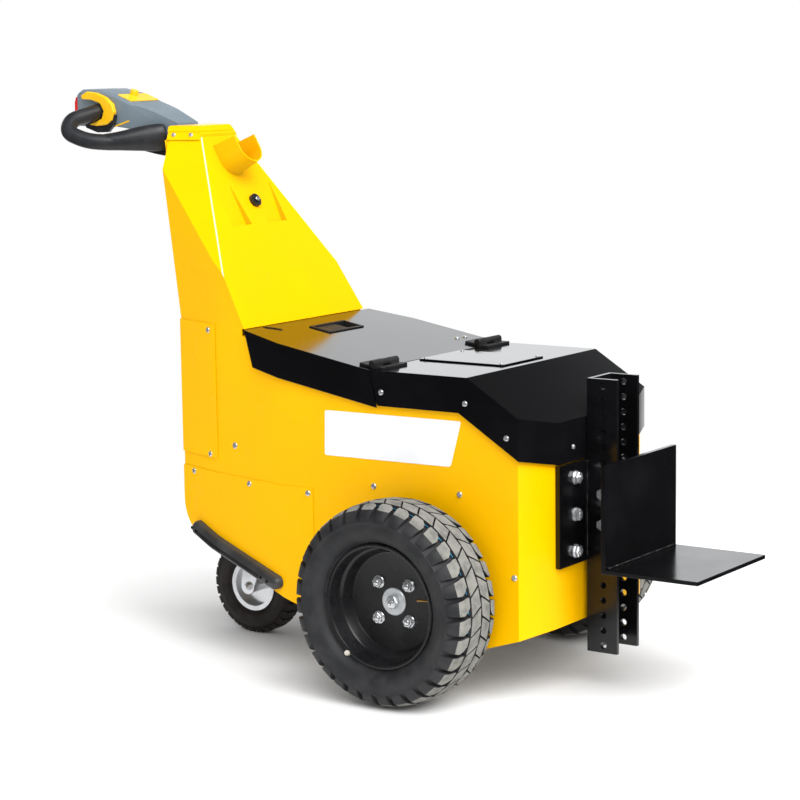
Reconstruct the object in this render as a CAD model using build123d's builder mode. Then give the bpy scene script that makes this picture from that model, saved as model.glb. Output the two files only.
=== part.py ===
from build123d import *
from math import atan, cos, degrees, radians, sin, tan
import os

os.makedirs("parts", exist_ok=True)

# A walk-behind electric tug. X points ahead to the hitch, Y to the left, Z up, all in mm.
# The origin is on the floor under the middle of the machine's box.

# Overall reach of the machine from its drive axle
hitch_reach = 553
handle_reach = 1030
axle_x = (handle_reach - hitch_reach) / 2

# Sheet metal, clearances and bolts
sheet = 3
panel = 2.5
thick_plate = 10
seat_gap = 0.3
lid_clearance = 5
running_gap = 0.3
bolt_radius = 6
bolt_hole = 6.5
bolt_flats = 19
bolt_head = 9

# Yellow body: half widths and places along the body
body_half = 236
nose_x = axle_x + 252
nose_half = 146
shoulder_x = axle_x + 224
waist_x = axle_x - 331
hip_x = axle_x - 533
hip_half = 188
tail_x = axle_x - 660
tail_half = 142
tail_radius = 70
floor_z = 100
ramp_angle = 17.7
front_ramp_x = axle_x + 128
rear_ramp_x = axle_x - 165
bay_ledge = 54

# Drive wheels
tyre_radius = 200
tyre_width = 150
wheel_gap = 15
track = 2 * (body_half + wheel_gap) + tyre_width
groove_depth = 8
lug_count = 32
lug_share = 0.76
rim_radius = 122
rim_half_width = 53
rim_sheet = 4
disc_offset = 8
disc_sheet = 5
wheel_bore = 33
stud_circle = 100
stud_count = 4
stud_reach = 18
axle_radius = 16
axle_nut_flats = 24
housing_radius = 46
hub_boss_radius = 40
hub_flange_radius = 62

# Fixed front cover and hinged battery lid
plateau_z = 630
plateau_front_x = axle_x + 116
slope_angle = 31.7
hinge_x = axle_x - 112
lid_angle = 10
lid_rear_x = axle_x - 434
lid_rear_lean = 18
skirt = 69
joint_gap = 3
joint_lean = 15
deck_drop = 14

# Console tower
tower_seam_z = 690
tower_top_z = 1076
tower_front_x = axle_x - 443
tower_front_angle = 59.8
tower_rear_lean = 10.5
tower_top_half = 53
tower_top_x = axle_x - 669
tower_reach = 120
cap_height = 12
cap_flange = 17
cap_lip = 4
cap_flange_front_x = axle_x - 661
back_cover = 10
back_cover_low_z = 974
back_cover_margin = 26

# Hitch channel and plates
channel_half = 44
channel_depth = 66
channel_wall = 8
channel_low_z = 77
channel_height = 538
hole_pitch = 30
hole_radius = 6.5
hole_count = 18
hole_low_z = 91.5
bracket_half = 147
bracket_low_z = 258
bracket_height = 199
bracket_bolt_y = 88
bracket_bolt_z = (284, 356, 428)
hitch_plate_half = 141
hitch_plate_height = 208
shelf_top_z = 266
shelf_thick = 8
carriage_length = 76
carriage_wall = 8
carriage_play = 2
carriage_bolt_z = (331.5, 391.5)

# Rear caster, with the heights of its fork, race and deck
caster_x = axle_x - 580
caster_trail = 42
caster_radius = 105
caster_width = 60
caster_rim_radius = 56
caster_lug_count = 30
caster_groove = 5
caster_well_radius = 170
fork_half = 40
fork_plate = 5
swivel_x = caster_x + caster_trail
crown_z = 2 * caster_radius + 12
crown_thick = 8
race_height = 18
race_split = 6
mount_thick = 8
mount_z = crown_z + crown_thick + race_height
deck_z = mount_z + mount_thick


def save(part, name):
    part.label = name
    export_step(part, f"parts/{name}.step")


# Plan outline of the body
outline_stations = (
    # along X, half width
    (nose_x, nose_half),
    (shoulder_x, body_half),
    (waist_x, body_half),
    (hip_x, hip_half),
    (tail_x, tail_half),
)

# The tower's outline runs on behind the tail, where its rear face leans out
facet_slope = (hip_half - tail_half) / (hip_x - tail_x)
tower_stations = (
    # along X, half width
    (waist_x, body_half),
    (hip_x, hip_half),
    (tail_x - tower_reach, tail_half - facet_slope * tower_reach),
)


def plan_prism(margin, low_z, high_z, stations=outline_stations):
    """Upright prism on an outline in plan, grown by margin."""
    near = [(x, -y) for x, y in stations]
    far = [(x, y) for x, y in reversed(stations)]
    with BuildPart() as prism:
        with BuildSketch(Plane.XY.offset(low_z)):
            with BuildLine():
                Polyline(*near, *far, close=True)
            make_face()
            offset(amount=margin, kind=Kind.INTERSECTION)
        extrude(amount=high_z - low_z)
    return prism.part


def side_slab(inset):
    """Slab across the machine over the floor, both ramps and the rolled tail, moved in by inset."""
    rise = tan(radians(ramp_angle))
    front_end = nose_x + body_half
    with BuildPart() as slab:
        with BuildSketch(Plane.XZ) as outline:
            with BuildLine():
                Polyline(
                    (front_end, 2 * tower_top_z),
                    (front_end, floor_z + (front_end - front_ramp_x) * rise),
                    (front_ramp_x, floor_z),
                    (rear_ramp_x, floor_z),
                    (tail_x, floor_z + (rear_ramp_x - tail_x) * rise),
                    (tail_x, 2 * tower_top_z),
                    close=True,
                )
            make_face()
            rear_corners = outline.vertices().group_by(Axis.X)[0]
            fillet(rear_corners.sort_by(Axis.Y)[0], tail_radius)
            offset(amount=-inset, kind=Kind.INTERSECTION)
        extrude(amount=2 * body_half, both=True)
    return slab.part


def trimmed(solid, planes):
    """The part of a solid behind every one of the planes."""
    with BuildPart() as rest:
        add(solid)
        for plane in planes:
            split(bisect_by=plane, keep=Keep.BOTTOM)
    return rest.part


def tilted(x, z, angle):
    """Plane across the machine through x and z, whose face rises by angle from level, facing up."""
    return Plane(origin=(x, 0, z), z_dir=(-sin(radians(angle)), 0, cos(radians(angle))))


# Faces that bound the tower, the cover and the lid
lid_rear_z = plateau_z + (hinge_x - lid_rear_x) * tan(radians(lid_angle))
plateau = tilted(plateau_front_x, plateau_z, 0)
slope = tilted(plateau_front_x, plateau_z, -slope_angle)
lid_top = tilted(hinge_x, plateau_z, -lid_angle)
tower_front = tilted(tower_front_x, tower_seam_z, -tower_front_angle)
tower_rear = Plane(
    origin=(tail_x, 0, tower_seam_z),
    z_dir=(-cos(radians(tower_rear_lean)), 0, -sin(radians(tower_rear_lean))),
)
# The sides of the tower lean in, and run from the cap's front corner to the lid's rear corner
side_normal = (0.254, -0.795, 0.549)
tower_side_right = Plane(origin=(tower_top_x, -tower_top_half, tower_top_z), z_dir=side_normal)
tower_side_left = Plane(
    origin=(tower_top_x, tower_top_half, tower_top_z),
    z_dir=(side_normal[0], -side_normal[1], side_normal[2]),
)


def tower_form(margin, low_z, high_z):
    """Piece of the tower between two heights, grown by margin on every side."""
    faces = (tower_front, tower_rear, tower_side_right, tower_side_left)
    return trimmed(
        plan_prism(margin, low_z, high_z, tower_stations),
        [face.offset(margin) for face in faces],
    )


def body_hull(inset):
    """Solid filling the yellow body, with every face moved in by inset."""
    deck_top_z = plateau_z - deck_drop - inset
    deck_rear_x = lid_rear_x - deck_drop
    deck_front_x = nose_x + body_half
    with BuildPart() as deck_cut:
        with BuildSketch(Plane.XZ):
            with BuildLine():
                Polyline(
                    (deck_rear_x, 2 * tower_top_z),
                    (deck_rear_x, lid_rear_z - deck_drop - inset),
                    (hinge_x, deck_top_z),
                    (plateau_front_x, deck_top_z),
                    (deck_front_x, deck_top_z - (deck_front_x - plateau_front_x) * tan(radians(slope_angle))),
                    (deck_front_x, 2 * tower_top_z),
                    close=True,
                )
            make_face()
        extrude(amount=2 * body_half, both=True)
    with BuildPart() as hull:
        add(plan_prism(-inset, floor_z, tower_seam_z))
        add(side_slab(inset), mode=Mode.INTERSECT)
        add(deck_cut.part, mode=Mode.SUBTRACT)
        add(tower_form(-inset, tower_seam_z - sheet, tower_top_z - inset))
    return hull.part


face_run = cos(radians(tower_front_angle))
face_rise = sin(radians(tower_front_angle))
face_normal = Vector(face_rise, 0, face_run)


def on_face(z, y=0):
    """Place on the tower's front face at height z."""
    return Vector(tower_front_x - (z - tower_seam_z) * face_run / face_rise, y, z)


# Two pressed pockets in the tower's front face, shallow at the top and deep at the foot
pocket_top_z = 967
pocket_length = 97
pocket_inner_y = 42
pocket_outer_y = 94
pocket_depth = 14
pocket_spread = 14


def pockets(wall):
    """Both pockets as solids, grown outward by a wall."""
    with BuildPart() as pair:
        for side in (-1, 1):
            foot = -side * (pocket_length + wall)
            with BuildSketch(Plane(origin=on_face(pocket_top_z), x_dir=(0, side, 0), z_dir=face_normal)):
                with BuildLine():
                    Polyline(
                        (pocket_inner_y - wall, side * wall),
                        (pocket_outer_y + wall, side * wall),
                        (pocket_outer_y + wall, foot),
                        (pocket_inner_y - pocket_spread - wall, foot),
                        close=True,
                    )
                make_face()
            extrude(amount=-pocket_depth - 2 * wall)
        floor_angle = tower_front_angle + degrees(atan(pocket_depth / pocket_length))
        split(bisect_by=tilted(on_face(pocket_top_z).X, pocket_top_z, -floor_angle).offset(-wall), keep=Keep.TOP)
    return pair.part


# Body shell, open underneath for the caster and on top under the lid and the cover
body_outer = body_hull(0)
bay_rear_x = lid_rear_x + deck_drop
bay_front_x = nose_x - skirt
bay_low_z = plateau_z - 2 * skirt
with BuildPart() as body_shell:
    add(body_outer)
    add(body_hull(sheet), mode=Mode.SUBTRACT)
    add(pockets(sheet))
    add(body_outer, mode=Mode.INTERSECT)
    add(pockets(0), mode=Mode.SUBTRACT)
    with BuildSketch(Plane.XY.offset(bay_low_z)):
        with Locations(((bay_rear_x + bay_front_x) / 2, 0)):
            Rectangle(bay_front_x - bay_rear_x, 2 * (body_half - bay_ledge))
    extrude(amount=plateau_z - bay_low_z + skirt, mode=Mode.SUBTRACT)
    with BuildSketch(Plane.XY):
        with Locations((swivel_x, 0)):
            Circle(caster_well_radius)
    extrude(amount=deck_z, mode=Mode.SUBTRACT)
    with Locations(Location((axle_x, 0, tyre_radius), (90, 0, 0))):
        Cylinder(housing_radius + seat_gap, 3 * body_half, mode=Mode.SUBTRACT)
    with Locations(*[Location((nose_x, side * bracket_bolt_y, z), (0, 90, 0))
                     for side in (-1, 1) for z in bracket_bolt_z]):
        Cylinder(bolt_hole, 4 * sheet, mode=Mode.SUBTRACT)
save(body_shell.part, "body_shell")

# Panels bolted to the back of the body
lower_panel_top_z = 381
lower_panel_front_x = axle_x - 255
upper_panel_low_z = 410
with BuildPart() as panel_ring:
    add(plan_prism(panel, floor_z, tower_seam_z))
    add(plan_prism(0, floor_z, tower_seam_z), mode=Mode.SUBTRACT)
    add(side_slab(-panel), mode=Mode.INTERSECT)

with BuildPart() as rear_lower_panel:
    add(panel_ring.part)
    split(bisect_by=Plane.XY.offset(lower_panel_top_z), keep=Keep.BOTTOM)
    split(bisect_by=Plane.YZ.offset(lower_panel_front_x), keep=Keep.BOTTOM)
save(rear_lower_panel.part, "rear_lower_panel")

with BuildPart() as rear_upper_panel:
    add(panel_ring.part)
    split(bisect_by=Plane.XY.offset(upper_panel_low_z), keep=Keep.TOP)
    split(bisect_by=Plane.YZ.offset(hip_x), keep=Keep.BOTTOM)
save(rear_upper_panel.part, "rear_upper_panel")

# Domed cover on the back of the tower
with BuildPart() as tower_back:
    add(trimmed(
        plan_prism(-back_cover_margin, back_cover_low_z, tower_top_z - cap_flange - seat_gap, tower_stations),
        [tower_rear.offset(back_cover), tower_side_right.offset(-panel), tower_side_left.offset(-panel)],
    ))
    split(bisect_by=tower_rear, keep=Keep.TOP)
    chamfer(tower_back.faces().filter_by(tower_rear)[0].edges(), back_cover / 4)
save(tower_back.part, "tower_back")

# Cap on top of the tower, with a lip in front and flanges down both sides
with BuildPart() as console_cap:
    add(tower_form(cap_lip, tower_top_z, tower_top_z + cap_height))
    add(trimmed(
        tower_form(sheet, tower_top_z - cap_flange, tower_top_z + sheet),
        [Plane.YZ.offset(cap_flange_front_x)],
    ))
    add(body_outer, mode=Mode.SUBTRACT)
    chamfer(console_cap.faces().sort_by(Axis.Z)[-1].edges(), cap_lip / 2)
save(console_cap.part, "console_cap")


def cover_form(outset, faces, drop):
    """Solid under the cover's or lid's top faces, lowered by drop."""
    return trimmed(
        plan_prism(outset, plateau_z - 4 * skirt, plateau_z + 2 * skirt),
        [face.offset(-drop) for face in faces],
    )


def folded_cover(faces, end_planes):
    """Folded cover with a skirt of even width hanging outside the body."""
    outset = lid_clearance + sheet
    with BuildPart() as cover:
        add(cover_form(outset, faces, 0))
        add(cover_form(outset - sheet, faces, sheet), mode=Mode.SUBTRACT)
        add(cover_form(outset + sheet, faces, skirt), mode=Mode.SUBTRACT)
        for plane in end_planes:
            split(bisect_by=plane, keep=Keep.BOTTOM)
    return cover.part


def leaning(x, z, lean, facing):
    """Plane across the machine that leans back by an angle, facing ahead (1) or astern (-1)."""
    return Plane(
        origin=(x, 0, z),
        z_dir=(facing * cos(radians(lean)), 0, facing * sin(radians(lean))),
    )


# Screws that hold the cover, each through a spacer on the body's side or nose
cover_side_screws = (
    # along X, height
    (axle_x - 81, 588),
    (axle_x + 112, 580),
    (axle_x + 204, 521),
)
cover_nose_screw = (93, 488)
spacer_radius = 7
with BuildPart() as front_cover:
    add(folded_cover([plateau, slope], [leaning(hinge_x + joint_gap, plateau_z, joint_lean, -1)]))
    for side in (-1, 1):
        with BuildSketch(Plane(origin=(0, side * body_half, 0), x_dir=(1, 0, 0), z_dir=(0, side, 0))):
            with Locations(*[(x, -side * z) for x, z in cover_side_screws]):
                Circle(spacer_radius)
        extrude(amount=lid_clearance + sheet / 2)
        with BuildSketch(Plane.YZ.offset(nose_x)):
            with Locations((side * cover_nose_screw[0], cover_nose_screw[1])):
                Circle(spacer_radius)
        extrude(amount=lid_clearance + sheet / 2)
save(front_cover.part, "front_cover")

# Battery lid with a sunk pull near its rear edge
pull_back = 253
pull_length = 46
pull_width = 112
pull_depth = 14
pull_frame = 4
with BuildPart() as lid:
    add(folded_cover(
        [lid_top],
        [
            leaning(hinge_x, plateau_z, joint_lean, 1),
            leaning(lid_rear_x, lid_rear_z, lid_rear_lean, -1),
        ],
    ))
    with Locations(lid_top.location):
        with Locations((-pull_back, 0, 0)):
            Box(pull_length, pull_width, 4 * sheet, mode=Mode.SUBTRACT)
save(lid.part, "lid")

standing = (Align.CENTER, Align.CENTER, Align.MIN)
hanging = (Align.CENTER, Align.CENTER, Align.MAX)
with BuildPart() as lid_pull:
    with Locations(lid_top.location):
        with Locations((-pull_back, 0, 0)):
            Box(pull_length + 2 * pull_frame, pull_width + 2 * pull_frame, panel, align=standing)
        with Locations((-pull_back, 0, panel)):
            Box(pull_length - 2 * seat_gap, pull_width - 2 * seat_gap, pull_depth + 2 * panel, align=hanging)
            Box(pull_length - pull_frame, pull_width - pull_frame, pull_depth + panel, align=hanging,
                mode=Mode.SUBTRACT)
        with Locations((-pull_back, -pull_width / 6, 0)):
            Box(pull_length - pull_frame, pull_width * 2 / 3, panel, align=hanging)
save(lid_pull.part, "lid_pull")

# Screwed access plate on the cover's plateau
access_x = axle_x - 6
access_length = 198
access_width = 154
access_corner = 4
with BuildPart() as access_plate:
    with BuildSketch(Plane.XY.offset(plateau_z)):
        with Locations((access_x, 0)):
            RectangleRounded(access_length, access_width, access_corner)
    extrude(amount=sheet)
save(access_plate.part, "access_plate")

# Lid hinges: a leaf on the cover with its pin and end knuckles, a leaf on the lid with the middle one
hinge_y = 190
hinge_width = 86
leaf_reach = 26
leaf_thick = 5
pin_radius = 3
barrel_radius = 7
knuckle = 28
knuckle_gap = 0.6
pin_x = hinge_x + joint_gap / 2
pin_z = plateau_z + barrel_radius + sheet
front_half = (Align.MIN, Align.CENTER, Align.MIN)
rear_half = (Align.MAX, Align.CENTER, Align.MIN)


def barrel(y, length):
    """Round knuckle along the hinge line, centred at y."""
    with Locations(Location((pin_x, y, pin_z), (90, 0, 0))):
        Cylinder(barrel_radius, length)


with BuildPart() as hinge_base:
    for side in (-1, 1):
        with Locations((pin_x, side * hinge_y, plateau_z)):
            Box(leaf_reach, hinge_width, leaf_thick, align=front_half)
            Box(barrel_radius, hinge_width, pin_z - plateau_z, align=front_half)
        barrel(side * hinge_y, hinge_width)
        with Locations((pin_x, side * hinge_y, pin_z)):
            Box(3 * barrel_radius, knuckle + 2 * knuckle_gap, 4 * barrel_radius, mode=Mode.SUBTRACT)
        with Locations(Location((pin_x, side * hinge_y, pin_z), (90, 0, 0))):
            Cylinder(pin_radius, hinge_width)
    split(bisect_by=plateau, keep=Keep.TOP)
save(hinge_base.part, "hinge_base")

with BuildPart() as hinge_leaf:
    for side in (-1, 1):
        with Locations(lid_top.location):
            with Locations((-barrel_radius, side * hinge_y, 0)):
                Box(leaf_reach, hinge_width - 2 * barrel_radius, leaf_thick, align=rear_half)
                Box(2 * barrel_radius, knuckle, leaf_thick + barrel_radius / 2, align=standing)
        barrel(side * hinge_y, knuckle)
        with Locations(Location((pin_x, side * hinge_y, pin_z), (90, 0, 0))):
            Cylinder(pin_radius + running_gap, hinge_width, mode=Mode.SUBTRACT)
    split(bisect_by=lid_top, keep=Keep.TOP)
save(hinge_leaf.part, "hinge_leaf")

# Hitch bracket, channel, carriage and plate
with BuildPart() as bracket_plate:
    with BuildSketch(Plane.YZ.offset(nose_x)):
        with Locations((0, bracket_low_z + bracket_height / 2)):
            Rectangle(2 * bracket_half, bracket_height)
        with Locations(*[(side * bracket_bolt_y, z) for side in (-1, 1) for z in bracket_bolt_z]):
            Circle(bolt_hole, mode=Mode.SUBTRACT)
    extrude(amount=thick_plate)
save(bracket_plate.part, "bracket_plate")

channel_back_x = nose_x + thick_plate
hole_x = channel_back_x + channel_depth - hole_pitch
with BuildPart() as channel:
    with BuildSketch(Plane.XY.offset(channel_low_z)):
        with Locations((channel_back_x + channel_depth / 2, 0)):
            Rectangle(channel_depth, 2 * channel_half)
        with Locations((channel_back_x + channel_wall + channel_depth / 2, 0)):
            Rectangle(channel_depth, 2 * (channel_half - channel_wall), mode=Mode.SUBTRACT)
    extrude(amount=channel_height)
    with BuildSketch(Plane.XZ.offset(-channel_half)):
        with Locations((hole_x, hole_low_z + hole_pitch * (hole_count - 1) / 2)):
            with GridLocations(hole_pitch, hole_pitch, 1, hole_count):
                Circle(hole_radius)
    extrude(amount=2 * channel_half, mode=Mode.SUBTRACT)
save(channel.part, "channel")

carriage_half = channel_half - channel_wall - seat_gap
carriage_low_z = carriage_bolt_z[0] - hole_pitch
carriage_height = carriage_bolt_z[-1] - carriage_bolt_z[0] + 2 * hole_pitch
carriage_x = channel_back_x + channel_wall + carriage_play
hitch_plate_x = carriage_x + carriage_length
with BuildPart() as carriage:
    with BuildSketch(Plane.XY.offset(carriage_low_z)):
        with Locations((carriage_x + carriage_length / 2, 0)):
            Rectangle(carriage_length, 2 * carriage_half)
            Rectangle(carriage_length - 2 * carriage_wall, 2 * (carriage_half - carriage_wall),
                      mode=Mode.SUBTRACT)
    extrude(amount=carriage_height)
    for z in carriage_bolt_z:
        with Locations(Location((hole_x, 0, z), (90, 0, 0))):
            Cylinder(hole_radius, 2 * channel_half, mode=Mode.SUBTRACT)
save(carriage.part, "carriage")

shelf_low_z = shelf_top_z - shelf_thick
with BuildPart() as hitch_plate:
    with BuildSketch(Plane.XZ.offset(-hitch_plate_half)):
        with BuildLine():
            Polyline(
                (hitch_plate_x, shelf_low_z),
                (axle_x + hitch_reach, shelf_low_z),
                (axle_x + hitch_reach, shelf_top_z),
                (hitch_plate_x + thick_plate, shelf_top_z),
                (hitch_plate_x + thick_plate, shelf_low_z + hitch_plate_height),
                (hitch_plate_x, shelf_low_z + hitch_plate_height),
                close=True,
            )
        make_face()
    extrude(amount=2 * hitch_plate_half)
save(hitch_plate.part, "hitch_plate")


def hexagon(across_flats, x, y, z, facing):
    """Outline of a hexagonal head or nut at a place, facing along a direction."""
    with BuildSketch(Plane(origin=(x, y, z), z_dir=facing)) as outline:
        RegularPolygon(across_flats / 2, 6, major_radius=False)
    return outline.sketch


with BuildPart() as hitch_bolts:
    for z in carriage_bolt_z:
        with Locations(Location((hole_x, 0, z), (90, 0, 0))):
            Cylinder(bolt_radius, 2 * channel_half)
        for side in (-1, 1):
            extrude(hexagon(bolt_flats, hole_x, side * channel_half, z, (0, side, 0)), amount=bolt_head)
save(hitch_bolts.part, "hitch_bolts")

bolt_reach = thick_plate + 2 * sheet
with BuildPart() as bracket_bolts:
    for side in (-1, 1):
        for z in bracket_bolt_z:
            with Locations(Location((channel_back_x - bolt_reach / 2, side * bracket_bolt_y, z), (0, 90, 0))):
                Cylinder(bolt_radius, bolt_reach)
            extrude(hexagon(bolt_flats, channel_back_x, side * bracket_bolt_y, z, (1, 0, 0)), amount=bolt_head)
save(bracket_bolts.part, "bracket_bolts")

# Battery tray and the two batteries
battery_length = 290
battery_width = 168
battery_height = 215
battery_spacing = 8
tray_z = 330
tray_sheet = 6
battery_x = (bay_rear_x + hinge_x) / 2
with BuildPart() as battery_tray:
    add(plan_prism(-sheet, tray_z - tray_sheet, tray_z))
    split(bisect_by=Plane.YZ.offset(battery_x + battery_length / 2 + thick_plate), keep=Keep.BOTTOM)
    split(bisect_by=Plane.YZ.offset(battery_x - battery_length / 2 - thick_plate), keep=Keep.TOP)
save(battery_tray.part, "battery_tray")

with BuildPart() as batteries:
    with Locations((battery_x, 0, tray_z + battery_height / 2)):
        with GridLocations(1, battery_width + battery_spacing, 1, 2):
            Box(battery_length, battery_width, battery_height)
save(batteries.part, "batteries")

# Drive unit: gearbox block on the body's floor, with a bearing housing through each side
drive_length = 190
drive_width = 300
drive_height = 150
foot_length = 230
foot_width = 60
housing_reach = body_half + wheel_gap - sheet
with BuildPart() as drive_unit:
    with Locations((axle_x, 0, tyre_radius)):
        Box(drive_length, drive_width, drive_height)
    with Locations(Location((axle_x, 0, tyre_radius), (90, 0, 0))):
        Cylinder(housing_radius, 2 * housing_reach)
    with Locations((axle_x, 0, floor_z + sheet)):
        Box(foot_length, foot_width, tyre_radius - floor_z, align=standing)
    for side in (-1, 1):
        with Locations(Location((axle_x, side * (housing_reach + sheet), tyre_radius), (side * 90, 0, 0))):
            Cylinder(axle_radius + running_gap, housing_reach - drive_width / 4, align=standing,
                     mode=Mode.SUBTRACT)
save(drive_unit.part, "drive_unit")


def wheel_plane(side, x=axle_x, z=tyre_radius, y=track / 2):
    """Plane through a wheel's axis: across the wheel outward, and up."""
    return Plane(origin=(x, side * y, z), x_dir=(0, side, 0), z_dir=(side, 0, 0))


def wheel_axis(x=axle_x, z=tyre_radius):
    return Axis((x, 0, z), (0, 1, 0))


def spread(part, axis, count, start=0):
    """Copies of a part spread evenly round an axis."""
    return [part.rotate(axis, start + i * 360 / count) for i in range(count)]


# Tyre section from the rim flange out to the tread, and one lug from the middle groove round the shoulder
bead_half = rim_half_width - rim_sheet - seat_gap
bead_radius = 104
casing = 11
tyre_half = tyre_width / 2
tread_half = 44
tread_base = tyre_radius - groove_depth
sidewall = (
    # across from the middle, radius
    (bead_half, rim_radius + 1),
    (tyre_half - 12, 130),
    (tyre_half - 3, 141),
    (tyre_half, 153),
    (tyre_half - 1, 166),
    (tyre_half - 7, 180),
    (tyre_half - 17, 188),
    (tread_half, tread_base),
)
lug_root = 4
lug_section = (
    # across from the middle, radius
    (lug_root - 1, tyre_radius),
    (tread_half, tyre_radius),
    (tyre_half - 10, 191),
    (tyre_half - 2, 172),
    (tyre_half - 11, 168),
    (tread_half, tread_base - lug_root),
    (lug_root - 1, tread_base - lug_root),
)


def drive_lug(side, hand):
    """One lug on the outer (1) or inner (-1) half of the tread."""
    with BuildPart() as lug:
        with BuildSketch(wheel_plane(side)):
            with BuildLine():
                Polyline(*[(hand * across, radius) for across, radius in lug_section], close=True)
            make_face()
        revolve(axis=wheel_axis(), revolution_arc=lug_share * 360 / lug_count)
    return lug.part


def drive_tyre(side):
    with BuildPart() as tyre:
        with BuildSketch(wheel_plane(side)):
            with BuildLine():
                Polyline(
                    (0, bead_radius + casing),
                    (bead_half - casing, bead_radius + casing),
                    (bead_half - casing, bead_radius),
                    (bead_half, bead_radius),
                    *sidewall,
                    (0, tread_base),
                    close=True,
                )
            make_face()
            mirror(about=Plane.YZ)
        revolve(axis=wheel_axis())
        add(spread(drive_lug(side, 1), wheel_axis(), lug_count))
        add(spread(drive_lug(side, -1), wheel_axis(), lug_count, 180 / lug_count))
    return tyre.part


def drive_rim(side):
    """Rim with its bead flanges, stepped barrel and disc."""
    barrel_outer = bead_radius - seat_gap
    with BuildPart() as rim:
        with BuildSketch(wheel_plane(side)):
            with BuildLine():
                Polyline(
                    (rim_half_width, rim_radius),
                    (rim_half_width, barrel_outer),
                    (rim_half_width - 6, barrel_outer - rim_sheet),
                    (rim_half_width - 22, barrel_outer - rim_sheet),
                    (rim_half_width - 26, barrel_outer - 13),
                    (disc_offset + 2, barrel_outer - 15),
                    (disc_offset, barrel_outer - 20),
                    (disc_offset, wheel_bore),
                    (disc_offset - disc_sheet, wheel_bore),
                    (disc_offset - disc_sheet, barrel_outer - 16),
                    (-rim_half_width, barrel_outer - rim_sheet),
                    (-rim_half_width, rim_radius),
                    (-rim_half_width + rim_sheet, rim_radius),
                    (-rim_half_width + rim_sheet, barrel_outer),
                    (rim_half_width - rim_sheet, barrel_outer),
                    (rim_half_width - rim_sheet, rim_radius),
                    close=True,
                )
            make_face()
        revolve(axis=wheel_axis())
        with BuildSketch(Plane(origin=(axle_x, side * track / 2, tyre_radius), z_dir=(0, side, 0))):
            with PolarLocations(stud_circle / 2, stud_count, start_angle=180 / stud_count):
                Circle(bolt_hole)
        extrude(amount=2 * disc_offset, both=True, mode=Mode.SUBTRACT)
    return rim.part


shaft_depth = 70
shaft_end = 16
shaft_end_radius = 9
hub_lip = 10
hub_recess = 12
nut_height = 10


def drive_hub(side):
    """Hub with its shaft, boss, flange, studs and nuts."""
    face = disc_offset - disc_sheet
    inner = housing_reach + sheet - track / 2
    with BuildPart() as hub:
        with BuildSketch(wheel_plane(side)):
            with BuildLine():
                Polyline(
                    (inner - shaft_depth, 0),
                    (inner - shaft_depth, axle_radius),
                    (inner, axle_radius),
                    (inner, hub_boss_radius),
                    (face - hub_lip, hub_boss_radius),
                    (face - hub_lip, hub_flange_radius),
                    (face, hub_flange_radius),
                    (face, wheel_bore - 1),
                    (face - hub_recess, wheel_bore - 1),
                    (face - hub_recess, shaft_end_radius),
                    (face - hub_recess + shaft_end, shaft_end_radius),
                    (face - hub_recess + shaft_end, 0),
                    close=True,
                )
            make_face()
        revolve(axis=wheel_axis())
        nut_y = side * (track / 2 + face - hub_recess)
        extrude(hexagon(axle_nut_flats, axle_x, nut_y, tyre_radius, (0, side, 0)), amount=nut_height)
        stud_y = side * (track / 2 + face)
        for i in range(stud_count):
            angle = radians((i + 0.5) * 360 / stud_count)
            x = axle_x + stud_circle / 2 * cos(angle)
            z = tyre_radius + stud_circle / 2 * sin(angle)
            with BuildSketch(Plane(origin=(x, stud_y, z), z_dir=(0, side, 0))):
                Circle(bolt_radius)
            extrude(amount=stud_reach)
            extrude(hexagon(bolt_flats, x, stud_y + side * disc_sheet, z, (0, side, 0)), amount=bolt_head)
    return hub.part


for side, name in ((-1, "right"), (1, "left")):
    save(drive_tyre(side), f"tyre_{name}")
    save(drive_rim(side), f"rim_{name}")
    save(drive_hub(side), f"hub_{name}")

# Rear caster: deck, top plate with its ball race, fork, rim and tyre
race_radius = 36
king_pin_radius = 10
mount_length = 135
mount_width = 110
deck_reach = 85
with BuildPart() as caster_deck:
    add(plan_prism(-sheet, deck_z, deck_z + mount_thick))
    split(bisect_by=Plane.YZ.offset(swivel_x + deck_reach), keep=Keep.BOTTOM)
    split(bisect_by=Plane.YZ.offset(swivel_x - deck_reach), keep=Keep.TOP)
save(caster_deck.part, "caster_deck")

with BuildPart() as caster_mount:
    with BuildSketch(Plane.XY.offset(mount_z)):
        with Locations((swivel_x, 0)):
            RectangleRounded(mount_length, mount_width, mount_thick)
            with GridLocations(mount_length - hole_pitch, mount_width - hole_pitch, 2, 2):
                Circle(bolt_hole, mode=Mode.SUBTRACT)
    extrude(amount=mount_thick)
    with BuildSketch(Plane.XY.offset(mount_z)):
        with Locations((swivel_x, 0)):
            Circle(race_radius)
            Circle(king_pin_radius + running_gap, mode=Mode.SUBTRACT)
    extrude(amount=race_split - race_height)
save(caster_mount.part, "caster_mount")

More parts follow.
